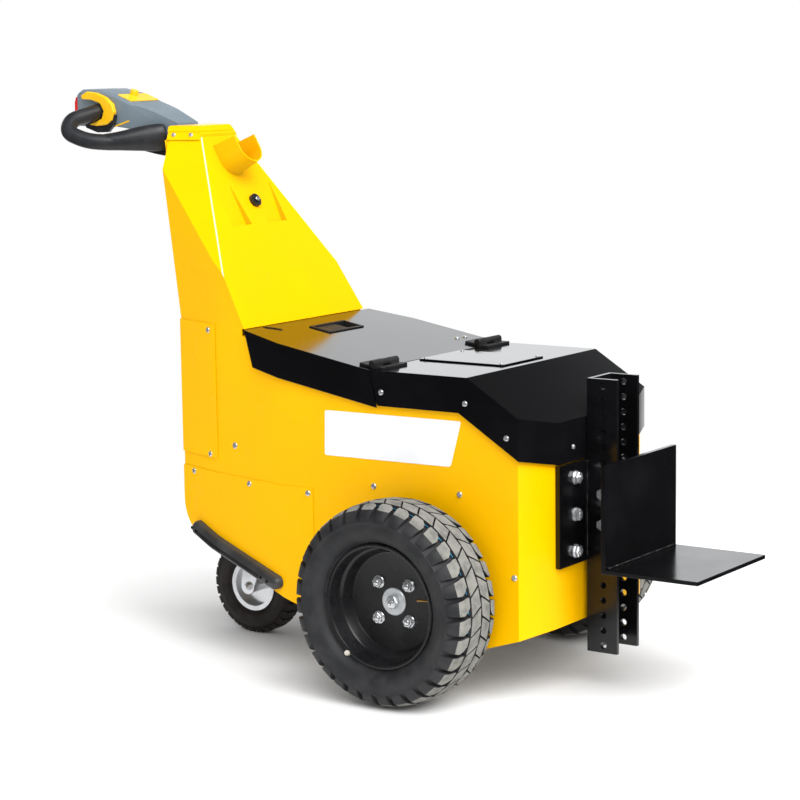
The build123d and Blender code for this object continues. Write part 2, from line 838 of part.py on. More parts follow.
leg_inner = fork_half - fork_plate
leg_end = 17
leg_top_rear = 42
leg_top_front = 18
caster_axle_radius = 6
caster_nut_flats = 17
with BuildPart() as caster_fork:
    with BuildSketch(Plane.XY.offset(crown_z)):
        with Locations((swivel_x, 0)):
            Circle(race_radius + rim_sheet)
        with Locations((swivel_x + (leg_top_front - leg_top_rear) / 2, 0)):
            Rectangle(leg_top_front + leg_top_rear, 2 * fork_half)
    extrude(amount=crown_thick)
    with BuildSketch(Plane.XY.offset(crown_z + crown_thick)):
        with Locations((swivel_x, 0)):
            Circle(race_radius - race_split)
    extrude(amount=race_split - running_gap)
    with BuildSketch(Plane.XY.offset(crown_z + crown_thick)):
        with Locations((swivel_x, 0)):
            Circle(king_pin_radius)
    extrude(amount=race_height - sheet)
    for side in (-1, 1):
        with BuildSketch(Plane(origin=(0, side * leg_inner, 0), x_dir=(side, 0, 0), z_dir=(0, side, 0))):
            with BuildLine():
                Polyline(
                    (side * (caster_x - leg_end), -caster_radius),
                    (side * (swivel_x - leg_top_rear), -crown_z - crown_thick),
                    (side * (swivel_x + leg_top_front), -crown_z - crown_thick),
                    (side * (caster_x + leg_end), -caster_radius),
                    close=True,
                )
            make_face()
            with Locations((side * caster_x, -caster_radius)):
                Circle(leg_end)
        extrude(amount=fork_plate)
        nut = hexagon(caster_nut_flats, caster_x, side * fork_half, caster_radius, (0, side, 0))
        extrude(nut, amount=crown_thick)
    with Locations(Location((caster_x, 0, caster_radius), (90, 0, 0))):
        Cylinder(caster_axle_radius, 2 * fork_half + 3 * crown_thick)
save(caster_fork.part, "caster_fork")

caster_hub_half = leg_inner - 2
caster_hub_radius = 16
caster_bead_half = 18
caster_bead_radius = 50
caster_web = 3
with BuildPart() as caster_rim:
    with BuildSketch(wheel_plane(1, caster_x, caster_radius, 0)):
        with BuildLine():
            Polyline(
                (0, caster_axle_radius + running_gap),
                (caster_hub_half, caster_axle_radius + running_gap),
                (caster_hub_half, caster_hub_radius),
                (caster_web, caster_hub_radius),
                (caster_web, caster_bead_radius - rim_sheet),
                (caster_bead_half + rim_sheet, caster_bead_radius - rim_sheet),
                (caster_bead_half + rim_sheet, caster_rim_radius),
                (caster_bead_half, caster_rim_radius),
                (caster_bead_half, caster_bead_radius),
                (0, caster_bead_radius),
                close=True,
            )
        make_face()
        mirror(about=Plane.YZ)
    revolve(axis=wheel_axis(caster_x, caster_radius))
save(caster_rim.part, "caster_rim")

caster_seat_half = caster_bead_half - seat_gap
caster_seat_radius = caster_bead_radius + seat_gap
caster_half = caster_width / 2
caster_tread_half = 17
caster_base = caster_radius - caster_groove
caster_lug_section = (
    # across from the middle, radius
    (-caster_tread_half, caster_radius),
    (caster_tread_half, caster_radius),
    (caster_tread_half + 8, caster_base - 5),
    (caster_tread_half + 4, caster_base - 8),
    (-caster_tread_half - 4, caster_base - 8),
    (-caster_tread_half - 8, caster_base - 5),
)
caster_axis = wheel_axis(caster_x, caster_radius)
with BuildPart() as caster_lug:
    with BuildSketch(wheel_plane(1, caster_x, caster_radius, 0)):
        with BuildLine():
            Polyline(*caster_lug_section, close=True)
        make_face()
    revolve(axis=caster_axis, revolution_arc=lug_share * 360 / caster_lug_count)

with BuildPart() as caster_tyre:
    with BuildSketch(wheel_plane(1, caster_x, caster_radius, 0)):
        with BuildLine():
            Polyline(
                (0, caster_seat_radius),
                (caster_seat_half, caster_seat_radius),
                (caster_seat_half, caster_rim_radius + 1),
                (caster_half - 3, 66),
                (caster_half, 78),
                (caster_half - 3, 90),
                (caster_tread_half, caster_base),
                (0, caster_base),
                close=True,
            )
        make_face()
        mirror(about=Plane.YZ)
    revolve(axis=caster_axis)
    add(spread(caster_lug.part, caster_axis, caster_lug_count))
save(caster_tyre.part, "caster_tyre")

# Rubber foot guards along the lower edge of the rear panel, each with a long groove
guard_height = 34
guard_depth = 18
guard_end_lean = 48
groove_low = 9
groove_high = 16
groove_cut = 6
groove_end_lean = 20
groove_front_x = axle_x - 420


def edge_strip(depth_in, depth_out, low, high, end_lean, front_x):
    """Strip outside the lower panel along the ramp's edge, ending partway round the rolled tail."""
    ramp_rise = (rear_ramp_x - tail_x - tail_radius) * tan(radians(ramp_angle))
    roll_centre = (tail_x + tail_radius, 0, floor_z + ramp_rise + tail_radius / cos(radians(ramp_angle)))
    end_plane = Plane(origin=roll_centre, z_dir=(-cos(radians(end_lean)), 0, sin(radians(end_lean))))
    with BuildPart() as strip:
        add(plan_prism(panel + depth_out, floor_z, tower_seam_z))
        add(plan_prism(panel + depth_in, floor_z, tower_seam_z), mode=Mode.SUBTRACT)
        add(side_slab(low), mode=Mode.INTERSECT)
        add(side_slab(high), mode=Mode.SUBTRACT)
        split(bisect_by=end_plane, keep=Keep.BOTTOM)
        split(bisect_by=Plane.YZ.offset(front_x), keep=Keep.BOTTOM)
    return strip.part


with BuildPart() as foot_guards:
    add(edge_strip(0, guard_depth, 0, guard_height, guard_end_lean, waist_x))
    add(
        edge_strip(guard_depth - groove_cut, guard_depth + 1, groove_low, groove_high,
                   groove_end_lean, groove_front_x),
        mode=Mode.SUBTRACT,
    )
save(foot_guards.part, "foot_guards")

# Emergency stop in its open gutter on the tower's front face
stop_z = 1013
gutter_radius = 35
gutter_wall = 37
gutter_wall_drop = 9
gutter_reach = 61
stop_neck_radius = 14
stop_radius = 21
stop_height = 28
stop_plane = Plane(origin=on_face(stop_z), x_dir=(0, 1, 0), z_dir=face_normal)
gutter_top = Plane(
    origin=stop_plane.from_local_coords((0, gutter_wall, 0)),
    z_dir=stop_plane.y_dir + stop_plane.z_dir * (gutter_wall_drop / gutter_reach),
)
with BuildPart() as stop_shroud:
    with BuildSketch(stop_plane):
        Circle(gutter_radius)
        Rectangle(2 * gutter_radius, gutter_wall, align=(Align.CENTER, Align.MIN))
        Circle(gutter_radius - sheet, mode=Mode.SUBTRACT)
        Rectangle(2 * (gutter_radius - sheet), gutter_wall, align=(Align.CENTER, Align.MIN), mode=Mode.SUBTRACT)
    extrude(amount=gutter_reach)
    split(bisect_by=gutter_top, keep=Keep.BOTTOM)
save(stop_shroud.part, "stop_shroud")

with BuildPart() as stop_button:
    with BuildSketch(stop_plane):
        Circle(stop_neck_radius)
    extrude(amount=stop_height)
    with BuildSketch(stop_plane.offset(stop_height / 2)):
        Circle(stop_radius)
    extrude(amount=stop_height / 2)
    chamfer(stop_button.edges().sort_by(Axis(on_face(stop_z), face_normal))[-1], sheet)
save(stop_button.part, "stop_button")

key_z = 928
key_y = 14
key_radius = 14
key_core_radius = 6
key_height = 8
with BuildPart() as key_switch:
    with BuildSketch(Plane(origin=on_face(key_z, key_y), x_dir=(0, 1, 0), z_dir=face_normal)) as key_ring:
        Circle(key_radius)
    extrude(amount=key_height)
    with BuildSketch(Plane(origin=on_face(key_z, key_y), x_dir=(0, 1, 0), z_dir=face_normal)):
        Circle(key_core_radius)
    extrude(amount=key_height + sheet)
save(key_switch.part, "key_switch")

# Tiller head: a moulded casing, wide at the grips and tapering to a neck on the tower
head_half = 55
neck_half = 34
head_round = 8
neck_x = axle_x - 744
neck_end_x = neck_x + 36
head_taper_x = axle_x - 857
head_rear_x = axle_x - 1018
head_crest_x = axle_x - 995
base_top_x = axle_x - 790
head_profile = (
    # along X, height
    (neck_end_x, 1090),
    (neck_x, 1092),
    (axle_x - 807, 1118),
    (head_taper_x, 1135),
    (axle_x - 905, 1153),
    (axle_x - 955, 1163),
    (head_crest_x, 1163),
    (head_rear_x, 1150),
    (head_rear_x, 1096),
    (axle_x - 1004, 1084),
    (axle_x - 900, 1084),
    (axle_x - 832, 1076),
    (base_top_x, 1066),
    (neck_end_x, 1060),
)
head_plan = (
    # along X, half width
    (head_rear_x, head_half - 12),
    (head_crest_x, head_half),
    (head_taper_x, head_half),
    (neck_x, neck_half),
    (neck_end_x, neck_half),
)
head_end = tower_rear.offset(back_cover + seat_gap)


def moulding(profile, plan, rounding):
    """Solid with a side profile, rounded along its upper edges, inside a plan outline."""
    near = [(x, -y) for x, y in plan]
    far = [(x, y) for x, y in reversed(plan)]
    widest = max(y for x, y in plan)
    with BuildPart() as form:
        with BuildSketch(Plane.XZ.offset(-widest)):
            with BuildLine():
                Polyline(*profile, close=True)
            make_face()
        extrude(amount=2 * widest)
        upward = form.faces().filter_by(lambda face: face.normal_at().Z > 0.85)
        fillet(upward.edges().filter_by(lambda edge: abs(edge.center().Y) > rounding), rounding)
        with BuildSketch(Plane.XY):
            with BuildLine():
                Polyline(*near, *far, close=True)
            make_face()
        extrude(amount=2 * tower_top_z, mode=Mode.INTERSECT)
    return form.part


with BuildPart() as tiller_head:
    add(moulding(head_profile, head_plan, head_round))
    split(bisect_by=head_end, keep=Keep.TOP)
save(tiller_head.part, "tiller_head")

# Black base under the neck, where both grips come together
base_half = 52
base_round = 1
base_profile = (
    # along X, height
    (neck_end_x, 1060 - seat_gap),
    (base_top_x, 1066 - seat_gap),
    (axle_x - 832, 1076 - seat_gap),
    (axle_x - 846, 1064),
    (axle_x - 832, 1034),
    (axle_x - 770, 1023),
    (neck_end_x, 1026),
)
base_plan = (
    # along X, half width
    (head_taper_x, base_half),
    (base_top_x, base_half),
    (neck_end_x, neck_half),
)
with BuildPart() as tiller_base:
    add(moulding(base_profile, base_plan, base_round))
    split(bisect_by=head_end, keep=Keep.TOP)
save(tiller_base.part, "tiller_base")

# Curved paddles round the root of each grip, on the head's sides
paddle_thick = 12
paddle_outline = (
    # behind the axle, height
    (988, 1150),
    (970, 1159),
    (944, 1156),
    (919, 1147),
    (900, 1132),
    (895, 1115),
    (901, 1098),
    (916, 1088),
    (944, 1085),
    (966, 1088),
    (948, 1094),
    (930, 1101),
    (924, 1117),
    (933, 1133),
    (959, 1141),
    (984, 1142),
)


def side_pad(outline, side, thickness):
    """Flat pad on one side of the head."""
    with BuildPart() as pad:
        with BuildSketch(Plane.XZ.offset(-side * (head_half + seat_gap))):
            with BuildLine():
                Polyline(*[(axle_x - back, z) for back, z in outline], close=True)
            make_face()
        extrude(amount=-side * thickness)
    return pad.part


with BuildPart() as tiller_paddles:
    for side in (-1, 1):
        add(side_pad(paddle_outline, side, paddle_thick))
save(tiller_paddles.part, "tiller_paddles")

# Loop grips: out from a collar on the head's side, back, down, round and forward into the base
grip_radius = 17
collar_thick = 8
collar_outline = (
    # behind the axle, height
    (894, 1108),
    (899, 1087),
    (915, 1072),
    (945, 1071),
    (977, 1081),
    (986, 1100),
    (968, 1128),
    (925, 1128),
)
grip_line = (
    # behind the axle, out from the middle, height
    (944, head_half + seat_gap, 1116),
    (963, 128, 1099),
    (951, 153, 1074),
    (905, 142, 1056),
    (850, 108, 1052),
    (796, 46, 1055),
)


def widest_bends(points):
    """Radius at each corner of a route that takes most of the shorter run beside it."""
    bends = []
    for before, corner, after in zip(points, points[1:], points[2:]):
        turn = radians((corner - before).get_angle(after - corner))
        run = min((corner - before).length, (after - corner).length)
        bends.append(0.45 * run / tan(turn / 2))
    return bends


with BuildPart() as tiller_grips:
    for side in (-1, 1):
        points = [Vector(axle_x - back, side * out, z) for back, out, z in grip_line]
        with BuildLine():
            path = FilletPolyline(*points, radius=widest_bends(points))
        with BuildSketch(Plane(origin=path @ 0, z_dir=path % 0)):
            Circle(grip_radius)
        sweep(path=path)
        add(side_pad(collar_outline, side, collar_thick))
    add(tiller_base.part, mode=Mode.SUBTRACT)
    add(tiller_head.part, mode=Mode.SUBTRACT)
    add(tiller_paddles.part, mode=Mode.SUBTRACT)
save(tiller_grips.part, "tiller_grips")

# Display panel on top of the head, with a round knob
trim_low = 1.5
panel_length = 40
panel_corner = 3
panel_front = (857, 1135)
panel_rear = (905, 1153)
knob_radius = 9
knob_height = 12
knob_back = 14
panel_run = panel_rear[0] - panel_front[0]
panel_rise = panel_rear[1] - panel_front[1]
panel_plane = Plane(
    origin=(axle_x - (panel_front[0] + panel_rear[0]) / 2, 0, (panel_front[1] + panel_rear[1]) / 2 + seat_gap),
    x_dir=(panel_run, 0, -panel_rise),
    z_dir=(panel_rise, 0, panel_run),
)
with BuildPart() as tiller_panel:
    with BuildSketch(panel_plane):
        RectangleRounded(panel_length, 2 * (head_half - head_round), panel_corner)
    extrude(amount=trim_low)
    with BuildSketch(panel_plane):
        with Locations((-knob_back, 0)):
            Circle(knob_radius)
    extrude(amount=knob_height)
save(tiller_panel.part, "tiller_panel")

# Red safety button over the head's rear end
belly_half = 40
belly_profile = (
    # behind the axle, height
    (1018 + seat_gap, 1098),
    (1018 + seat_gap, 1148),
    (1026, 1146),
    (1030, 1134),
    (1030, 1110),
    (1026, 1100),
)
with BuildPart() as belly_button:
    with BuildSketch(Plane.XZ.offset(-belly_half)):
        with BuildLine():
            Polyline(*[(axle_x - back, z) for back, z in belly_profile], close=True)
        make_face()
    extrude(amount=2 * belly_half)
save(belly_button.part, "belly_button")
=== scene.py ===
import bmesh
import bpy
from math import cos, pi, radians, sin
from mathutils import Matrix, Vector


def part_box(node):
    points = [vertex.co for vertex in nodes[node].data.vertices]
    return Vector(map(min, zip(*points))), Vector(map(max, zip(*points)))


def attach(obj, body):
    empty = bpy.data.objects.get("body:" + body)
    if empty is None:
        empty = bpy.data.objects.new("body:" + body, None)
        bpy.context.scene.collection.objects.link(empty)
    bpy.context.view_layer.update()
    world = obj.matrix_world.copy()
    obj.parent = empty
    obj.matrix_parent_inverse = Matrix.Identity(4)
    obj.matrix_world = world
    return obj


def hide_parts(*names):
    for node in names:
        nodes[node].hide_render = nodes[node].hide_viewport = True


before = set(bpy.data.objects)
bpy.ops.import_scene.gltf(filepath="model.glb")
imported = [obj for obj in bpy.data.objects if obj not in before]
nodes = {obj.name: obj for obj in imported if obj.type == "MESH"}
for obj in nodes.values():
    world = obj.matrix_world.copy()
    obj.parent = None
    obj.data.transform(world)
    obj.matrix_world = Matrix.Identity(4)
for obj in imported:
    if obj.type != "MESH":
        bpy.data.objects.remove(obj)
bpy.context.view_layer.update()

MM = 0.001

# The drive wheels' axle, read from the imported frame
tyre_low, tyre_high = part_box("tyre_right")
axle_x = (tyre_low.x + tyre_high.x) / 2
axle_z = (tyre_low.z + tyre_high.z) / 2
tyre_y = -(tyre_low.y + tyre_high.y) / 2


def at(x, y, z):
    """Point given in mm: ahead of the drive axle, to the left, and above the floor."""
    return Vector((axle_x + x * MM, y * MM, z * MM))


# Node groups shared by the materials
def shader_group(name, inputs, outputs):
    """Empty shader node group with the given sockets, each as (name, kind, default)."""
    group = bpy.data.node_groups.new(name, "ShaderNodeTree")
    for label, kind, value in inputs:
        socket = group.interface.new_socket(name=label, in_out="INPUT", socket_type=kind)
        if value is not None:
            socket.default_value = value
    for label, kind in outputs:
        group.interface.new_socket(name=label, in_out="OUTPUT", socket_type=kind)
    start = group.nodes.new("NodeGroupInput")
    end = group.nodes.new("NodeGroupOutput")
    return group, start, end


def make_orange_peel():
    """Height of the fine ripple that sprayed paint and moulded plastic have."""
    group, start, end = shader_group(
        "orange_peel",
        [("Scale", "NodeSocketFloat", 400.0), ("Waviness", "NodeSocketFloat", 0.3)],
        [("Height", "NodeSocketFloat")],
    )
    place = group.nodes.new("ShaderNodeTexCoord")
    fine = group.nodes.new("ShaderNodeTexNoise")
    fine.inputs["Detail"].default_value = 2
    broad = group.nodes.new("ShaderNodeTexNoise")
    broad.inputs["Scale"].default_value = 14
    broad.inputs["Detail"].default_value = 1
    blend = group.nodes.new("ShaderNodeMix")
    links = group.links
    links.new(place.outputs["Object"], fine.inputs["Vector"])
    links.new(start.outputs["Scale"], fine.inputs["Scale"])
    links.new(place.outputs["Object"], broad.inputs["Vector"])
    links.new(start.outputs["Waviness"], blend.inputs["Factor"])
    links.new(fine.outputs["Fac"], blend.inputs["A"])
    links.new(broad.outputs["Fac"], blend.inputs["B"])
    links.new(blend.outputs["Result"], end.inputs["Height"])
    return group


def make_patches():
    """Mask of soft uneven patches, for handling marks, dust and slight colour change."""
    group, start, end = shader_group(
        "patches",
        [
            ("Scale", "NodeSocketFloat", 6.0),
            ("From", "NodeSocketFloat", 0.4),
            ("To", "NodeSocketFloat", 0.65),
        ],
        [("Mask", "NodeSocketFloat")],
    )
    place = group.nodes.new("ShaderNodeTexCoord")
    noise = group.nodes.new("ShaderNodeTexNoise")
    noise.inputs["Detail"].default_value = 5
    noise.inputs["Roughness"].default_value = 0.6
    spread = group.nodes.new("ShaderNodeMapRange")
    spread.interpolation_type = "SMOOTHSTEP"
    links = group.links
    links.new(place.outputs["Object"], noise.inputs["Vector"])
    links.new(start.outputs["Scale"], noise.inputs["Scale"])
    links.new(noise.outputs["Fac"], spread.inputs["Value"])
    links.new(start.outputs["From"], spread.inputs["From Min"])
    links.new(start.outputs["To"], spread.inputs["From Max"])
    links.new(spread.outputs["Result"], end.inputs["Mask"])
    return group


orange_peel = make_orange_peel()
patches = make_patches()


def smooth_range(tree, source, start, end, low=0.0, high=1.0):
    """Eases a value between start and end onto low to high, and returns the result's socket."""
    node = tree.nodes.new("ShaderNodeMapRange")
    node.interpolation_type = "SMOOTHSTEP"
    node.inputs["From Min"].default_value = start
    node.inputs["From Max"].default_value = end
    node.inputs["To Min"].default_value = low
    node.inputs["To Max"].default_value = high
    tree.links.new(source, node.inputs["Value"])
    return node.outputs["Result"]


def product(tree, first, second):
    """Multiplies two sockets and returns the result's socket."""
    node = tree.nodes.new("ShaderNodeMath")
    node.operation = "MULTIPLY"
    tree.links.new(first, node.inputs[0])
    tree.links.new(second, node.inputs[1])
    return node.outputs["Value"]


def surface(name, colour, patch_colour, rough, patch_rough, *, metallic=0.0, coat=0.0, coat_rough=0.05,
            patch_scale=6.0, patch_from=0.4, patch_to=0.65, peel_scale=400.0, waviness=0.3, bump=0.05,
            bump_mm=0.2, specular=0.5, bounce=None):
    """Material whose colour and roughness drift in soft patches over a fine rippled height."""
    material = bpy.data.materials.new(name)
    material.use_nodes = True
    tree = material.node_tree
    shader = tree.nodes["Principled BSDF"]
    shader.inputs["Metallic"].default_value = metallic
    shader.inputs["Coat Weight"].default_value = coat
    shader.inputs["Coat Roughness"].default_value = coat_rough
    shader.inputs["Specular IOR Level"].default_value = specular
    mask = tree.nodes.new("ShaderNodeGroup")
    mask.node_tree = patches
    mask.inputs["Scale"].default_value = patch_scale
    mask.inputs["From"].default_value = patch_from
    mask.inputs["To"].default_value = patch_to
    tint = tree.nodes.new("ShaderNodeMix")
    tint.data_type = "RGBA"
    tint.inputs["A"].default_value = (*colour, 1)
    tint.inputs["B"].default_value = (*patch_colour, 1)
    gloss = tree.nodes.new("ShaderNodeMix")
    gloss.inputs["A"].default_value = rough
    gloss.inputs["B"].default_value = patch_rough
    peel = tree.nodes.new("ShaderNodeGroup")
    peel.node_tree = orange_peel
    peel.inputs["Scale"].default_value = peel_scale
    peel.inputs["Waviness"].default_value = waviness
    height = tree.nodes.new("ShaderNodeBump")
    height.inputs["Strength"].default_value = bump
    height.inputs["Distance"].default_value = bump_mm * MM
    links = tree.links
    links.new(mask.outputs["Mask"], tint.inputs["Factor"])
    links.new(mask.outputs["Mask"], gloss.inputs["Factor"])
    if bounce:
        seen = tree.nodes.new("ShaderNodeLightPath")
        cast = tree.nodes.new("ShaderNodeMix")
        cast.data_type = "RGBA"
        cast.inputs["B"].default_value = (*bounce, 1)
        links.new(seen.outputs["Is Diffuse Ray"], cast.inputs["Factor"])
        links.new(tint.outputs["Result"], cast.inputs["A"])
        links.new(cast.outputs["Result"], shader.inputs["Base Color"])
    else:
        links.new(tint.outputs["Result"], shader.inputs["Base Color"])
    links.new(gloss.outputs["Result"], shader.inputs["Roughness"])
    links.new(peel.outputs["Height"], height.inputs["Height"])
    links.new(height.outputs["Normal"], shader.inputs["Normal"])
    return material


def powder_coat(name):
    """Yellow paint of the body and its panels."""
    return surface(
        name, (0.95, 0.48, 0.0), (0.98, 0.505, 0.0), 0.28, 0.22,
        patch_scale=3, bump=0.1, peel_scale=550, specular=0.08, bounce=(0.5, 0.46, 0.4),
    )


# Tower faces that meet in its front folds: a point in mm, and the outward direction on the left
tower_faces = (
    ((-443, 0, 690), (0.8643, 0, 0.5030)),
    ((-669, 53, 1076), (0.2543, 0.7959, 0.5496)),
)


def catch_light(material):
    """Pale line along the folds between the tower's front and its sides, where they catch the light."""
    tree = material.node_tree
    links = tree.links
    place = tree.nodes.new("ShaderNodeTexCoord")
    split = tree.nodes.new("ShaderNodeSeparateXYZ")
    aside = tree.nodes.new("ShaderNodeMath")
    aside.operation = "ABSOLUTE"
    mirrored = tree.nodes.new("ShaderNodeCombineXYZ")
    farther = tree.nodes.new("ShaderNodeMath")
    farther.operation = "MAXIMUM"
    tint = tree.nodes.new("ShaderNodeMix")
    tint.data_type = "RGBA"
    tint.inputs["B"].default_value = (1.0, 0.93, 0.55, 1)
    links.new(place.outputs["Object"], split.inputs["Vector"])
    links.new(split.outputs["Y"], aside.inputs[0])
    links.new(split.outputs["X"], mirrored.inputs["X"])
    links.new(aside.outputs["Value"], mirrored.inputs["Y"])
    links.new(split.outputs["Z"], mirrored.inputs["Z"])
    for i, (point, facing) in enumerate(tower_faces):
        reach = tree.nodes.new("ShaderNodeVectorMath")
        reach.operation = "DOT_PRODUCT"
        reach.inputs[1].default_value = facing
        off_face = tree.nodes.new("ShaderNodeMath")
        off_face.operation = "SUBTRACT"
        off_face.inputs[1].default_value = Vector(facing).dot(at(*point))
        gap = tree.nodes.new("ShaderNodeMath")
        gap.operation = "ABSOLUTE"
        links.new(mirrored.outputs["Vector"], reach.inputs[0])
        links.new(reach.outputs["Value"], off_face.inputs[0])
        links.new(off_face.outputs["Value"], gap.inputs[0])
        links.new(gap.outputs["Value"], farther.inputs[i])
    on_fold = smooth_range(tree, farther.outputs["Value"], 0.8 * MM, 2.0 * MM, 1, 0)
    links.new(on_fold, tint.inputs["Factor"])
    base = tree.nodes["Principled BSDF"].inputs["Base Color"]
    links.new(base.links[0].from_socket, tint.inputs["A"])
    links.new(tint.outputs["Result"], base)


yellow_paint = powder_coat("yellow_powder_coat")
body_paint = powder_coat("yellow_body_coat")
catch_light(body_paint)
black_gloss = surface(
    "lid_gloss_black", (0.003, 0.003, 0.0035), (0.005, 0.005, 0.006), 0.12, 0.09,
    patch_scale=4, bump=0.06, peel_scale=500, specular=0.42,
)
black_steel = surface(
    "hitch_black_paint", (0.003, 0.003, 0.0035), (0.006, 0.006, 0.007), 0.2, 0.15,
    patch_scale=9, bump=0.12, peel_scale=420, specular=0.42,
)
rim_black = surface(
    "rim_gloss_black", (0.008, 0.008, 0.009), (0.013, 0.013, 0.014), 0.26, 0.34,
    patch_scale=12, bump=0.1, specular=0.4,
)
zinc = surface(
    "bright_zinc", (0.72, 0.73, 0.75), (0.67, 0.68, 0.69), 0.2, 0.27,
    metallic=0.75, patch_scale=30, bump=0.12, peel_scale=900,
)
hub_silver = surface(
    "machined_hub", (0.66, 0.68, 0.70), (0.54, 0.56, 0.57), 0.3, 0.42,
    metallic=0.55, patch_scale=60, bump=0.2, peel_scale=1400,
)
brass = surface(
    "valve_brass", (0.55, 0.32, 0.10), (0.38, 0.22, 0.08), 0.32, 0.45,
    metallic=1, patch_scale=80, bump=0.1, peel_scale=900,
)
tyre_rubber = surface(
    "tyre_side_rubber", (0.017, 0.0175, 0.019), (0.030, 0.030, 0.032), 0.58, 0.7,
    patch_scale=22, bump=0.35, bump_mm=0.5, peel_scale=380, specular=0.35,
)
tread_dust = surface(
    "dusty_tread_face", (0.250, 0.245, 0.222), (0.150, 0.148, 0.135), 0.82, 0.9,
    patch_scale=48, patch_from=0.38, patch_to=0.72, bump=0.5, bump_mm=0.6, peel_scale=520, specular=0.2,
)
caster_rubber = surface(
    "caster_rubber_brown", (0.018, 0.015, 0.014), (0.032, 0.027, 0.025), 0.6, 0.75,
    patch_scale=30, bump=0.3, bump_mm=0.4, peel_scale=500, specular=0.3,
)
grip_rubber = surface(
    "grip_soft_black", (0.018, 0.019, 0.022), (0.027, 0.028, 0.031), 0.36, 0.46,
    patch_scale=18, bump=0.25, peel_scale=900, specular=0.4,
)
head_grey = surface(
    "head_grey_moulding", (0.165, 0.212, 0.248), (0.185, 0.232, 0.268), 0.5, 0.44,
    patch_scale=10, bump=0.2, peel_scale=1100,
)
yellow_moulding = surface(
    "paddle_yellow_moulding", (0.95, 0.52, 0.0), (0.98, 0.56, 0.01), 0.3, 0.36,
    patch_scale=14, bump=0.08, peel_scale=800,
)
red_moulding = surface(
    "stop_red_moulding", (0.62, 0.012, 0.012), (0.70, 0.02, 0.015), 0.3, 0.38,
    patch_scale=16, bump=0.08, peel_scale=800,
)
black_moulding = surface(
    "black_moulding", (0.012, 0.012, 0.013), (0.02, 0.02, 0.021), 0.45, 0.55,
    patch_scale=20, bump=0.2, peel_scale=1000,
)
guard_rubber = surface(
    "guard_extruded_rubber", (0.030, 0.030, 0.031), (0.048, 0.048, 0.048), 0.32, 0.44,
    patch_scale=16, bump=0.25, peel_scale=700, specular=0.5,
)
label_white = surface(
    "blank_label_white", (0.90, 0.90, 0.91), (0.84, 0.85, 0.87), 0.4, 0.46,
    patch_scale=5, bump=0.04, peel_scale=700,
)
battery_case = surface(
    "battery_case_grey", (0.045, 0.048, 0.052), (0.07, 0.072, 0.075), 0.5, 0.6,
    patch_scale=18, bump=0.25, peel_scale=800,
)
drive_casting = surface(
    "drive_cast_grey", (0.10, 0.105, 0.11), (0.16, 0.16, 0.16), 0.55, 0.7,
    metallic=0.4, patch_scale=24, bump=0.5, bump_mm=0.5, peel_scale=260,
)
groove_blue = surface(
    "groove_blue_mark", (0.02, 0.22, 0.42), (0.03, 0.12, 0.2), 0.5, 0.6,
    patch_scale=80, bump=0.1,
)
# Near-black painted shade, put where holes and slots would look dark inside
painted_hole_shade = surface(
    "painted_shade_of_holes", (0.002, 0.002, 0.002), (0.004, 0.004, 0.004), 0.8, 0.9,
    patch_scale=40, bump=0.1, specular=0.1,
)
valve_white = surface(
    "valve_cap_white", (0.62, 0.58, 0.50), (0.5, 0.47, 0.4), 0.4, 0.5,
    patch_scale=60, bump=0.1,
)

node_materials = {
    "body_shell": body_paint,
    "rear_lower_panel": yellow_paint,
    "rear_upper_panel": yellow_paint,
    "tower_back": yellow_paint,
    "console_cap": yellow_paint,
    "stop_shroud": yellow_paint,
    "front_cover": black_gloss,
    "lid": black_gloss,
    "access_plate": black_gloss,
    "hinge_base": black_moulding,
    "hinge_leaf": black_moulding,
    "lid_pull": black_moulding,
    "bracket_plate": black_steel,
    "channel": black_steel,
    "carriage": black_steel,
    "hitch_plate": black_steel,
    "battery_tray": black_steel,
    "caster_deck": black_steel,
    "hitch_bolts": zinc,
    "caster_mount": zinc,
    "caster_fork": zinc,
    "caster_rim": zinc,
    "caster_tyre": caster_rubber,
    "batteries": battery_case,
    "drive_unit": drive_casting,
    "stop_button": red_moulding,
    "belly_button": red_moulding,
    "key_switch": black_moulding,
    "tiller_head": head_grey,
    "tiller_base": black_moulding,
    "tiller_grips": grip_rubber,
    "tiller_paddles": yellow_moulding,
    "tiller_panel": yellow_moulding,
}

# Rounding of each node's edges, in mm
edge_rounding = {
    "body_shell": 1.2,
    "rear_lower_panel": 0.8,
    "rear_upper_panel": 0.8,
    "tower_back": 1.5,
    "console_cap": 1.0,
    "stop_shroud": 0.8,
    "front_cover": 1.2,
    "lid": 1.2,
    "access_plate": 0.8,
    "hinge_base": 0.8,
    "hinge_leaf": 0.8,
    "lid_pull": 0.6,
    "bracket_plate": 0.8,
    "channel": 0.8,
    "carriage": 0.8,
    "hitch_plate": 0.8,
    "tiller_head": 2.5,
    "tiller_base": 4.0,
    "tiller_paddles": 2.5,
    "tiller_panel": 0.5,
    "belly_button": 2.0,
    "stop_button": 1.0,
}


def dress_node(name):
    """Give a CAD node its material, and round its edges with modifiers."""
    node = nodes[name]
    node.data.materials.clear()
    node.data.materials.append(node_materials[name])
    if name in edge_rounding:
        normals = node.data.attributes.get("custom_normal")
        if normals:
            node.data.attributes.remove(normals)
        node.data.shade_smooth()
        weld = node.modifiers.new("join_facets", "WELD")
        weld.merge_threshold = 0.00002
        flat = node.modifiers.new("flat_faces", "DECIMATE")
        flat.decimate_type = "DISSOLVE"
        flat.angle_limit = radians(1)
        bevel = node.modifiers.new("round_edges", "BEVEL")
        bevel.limit_method = "ANGLE"
        bevel.angle_limit = radians(25)
        bevel.width = edge_rounding[name] * MM
        bevel.segments = 2
        bevel.harden_normals = True


for node_name in node_materials:
    dress_node(node_name)


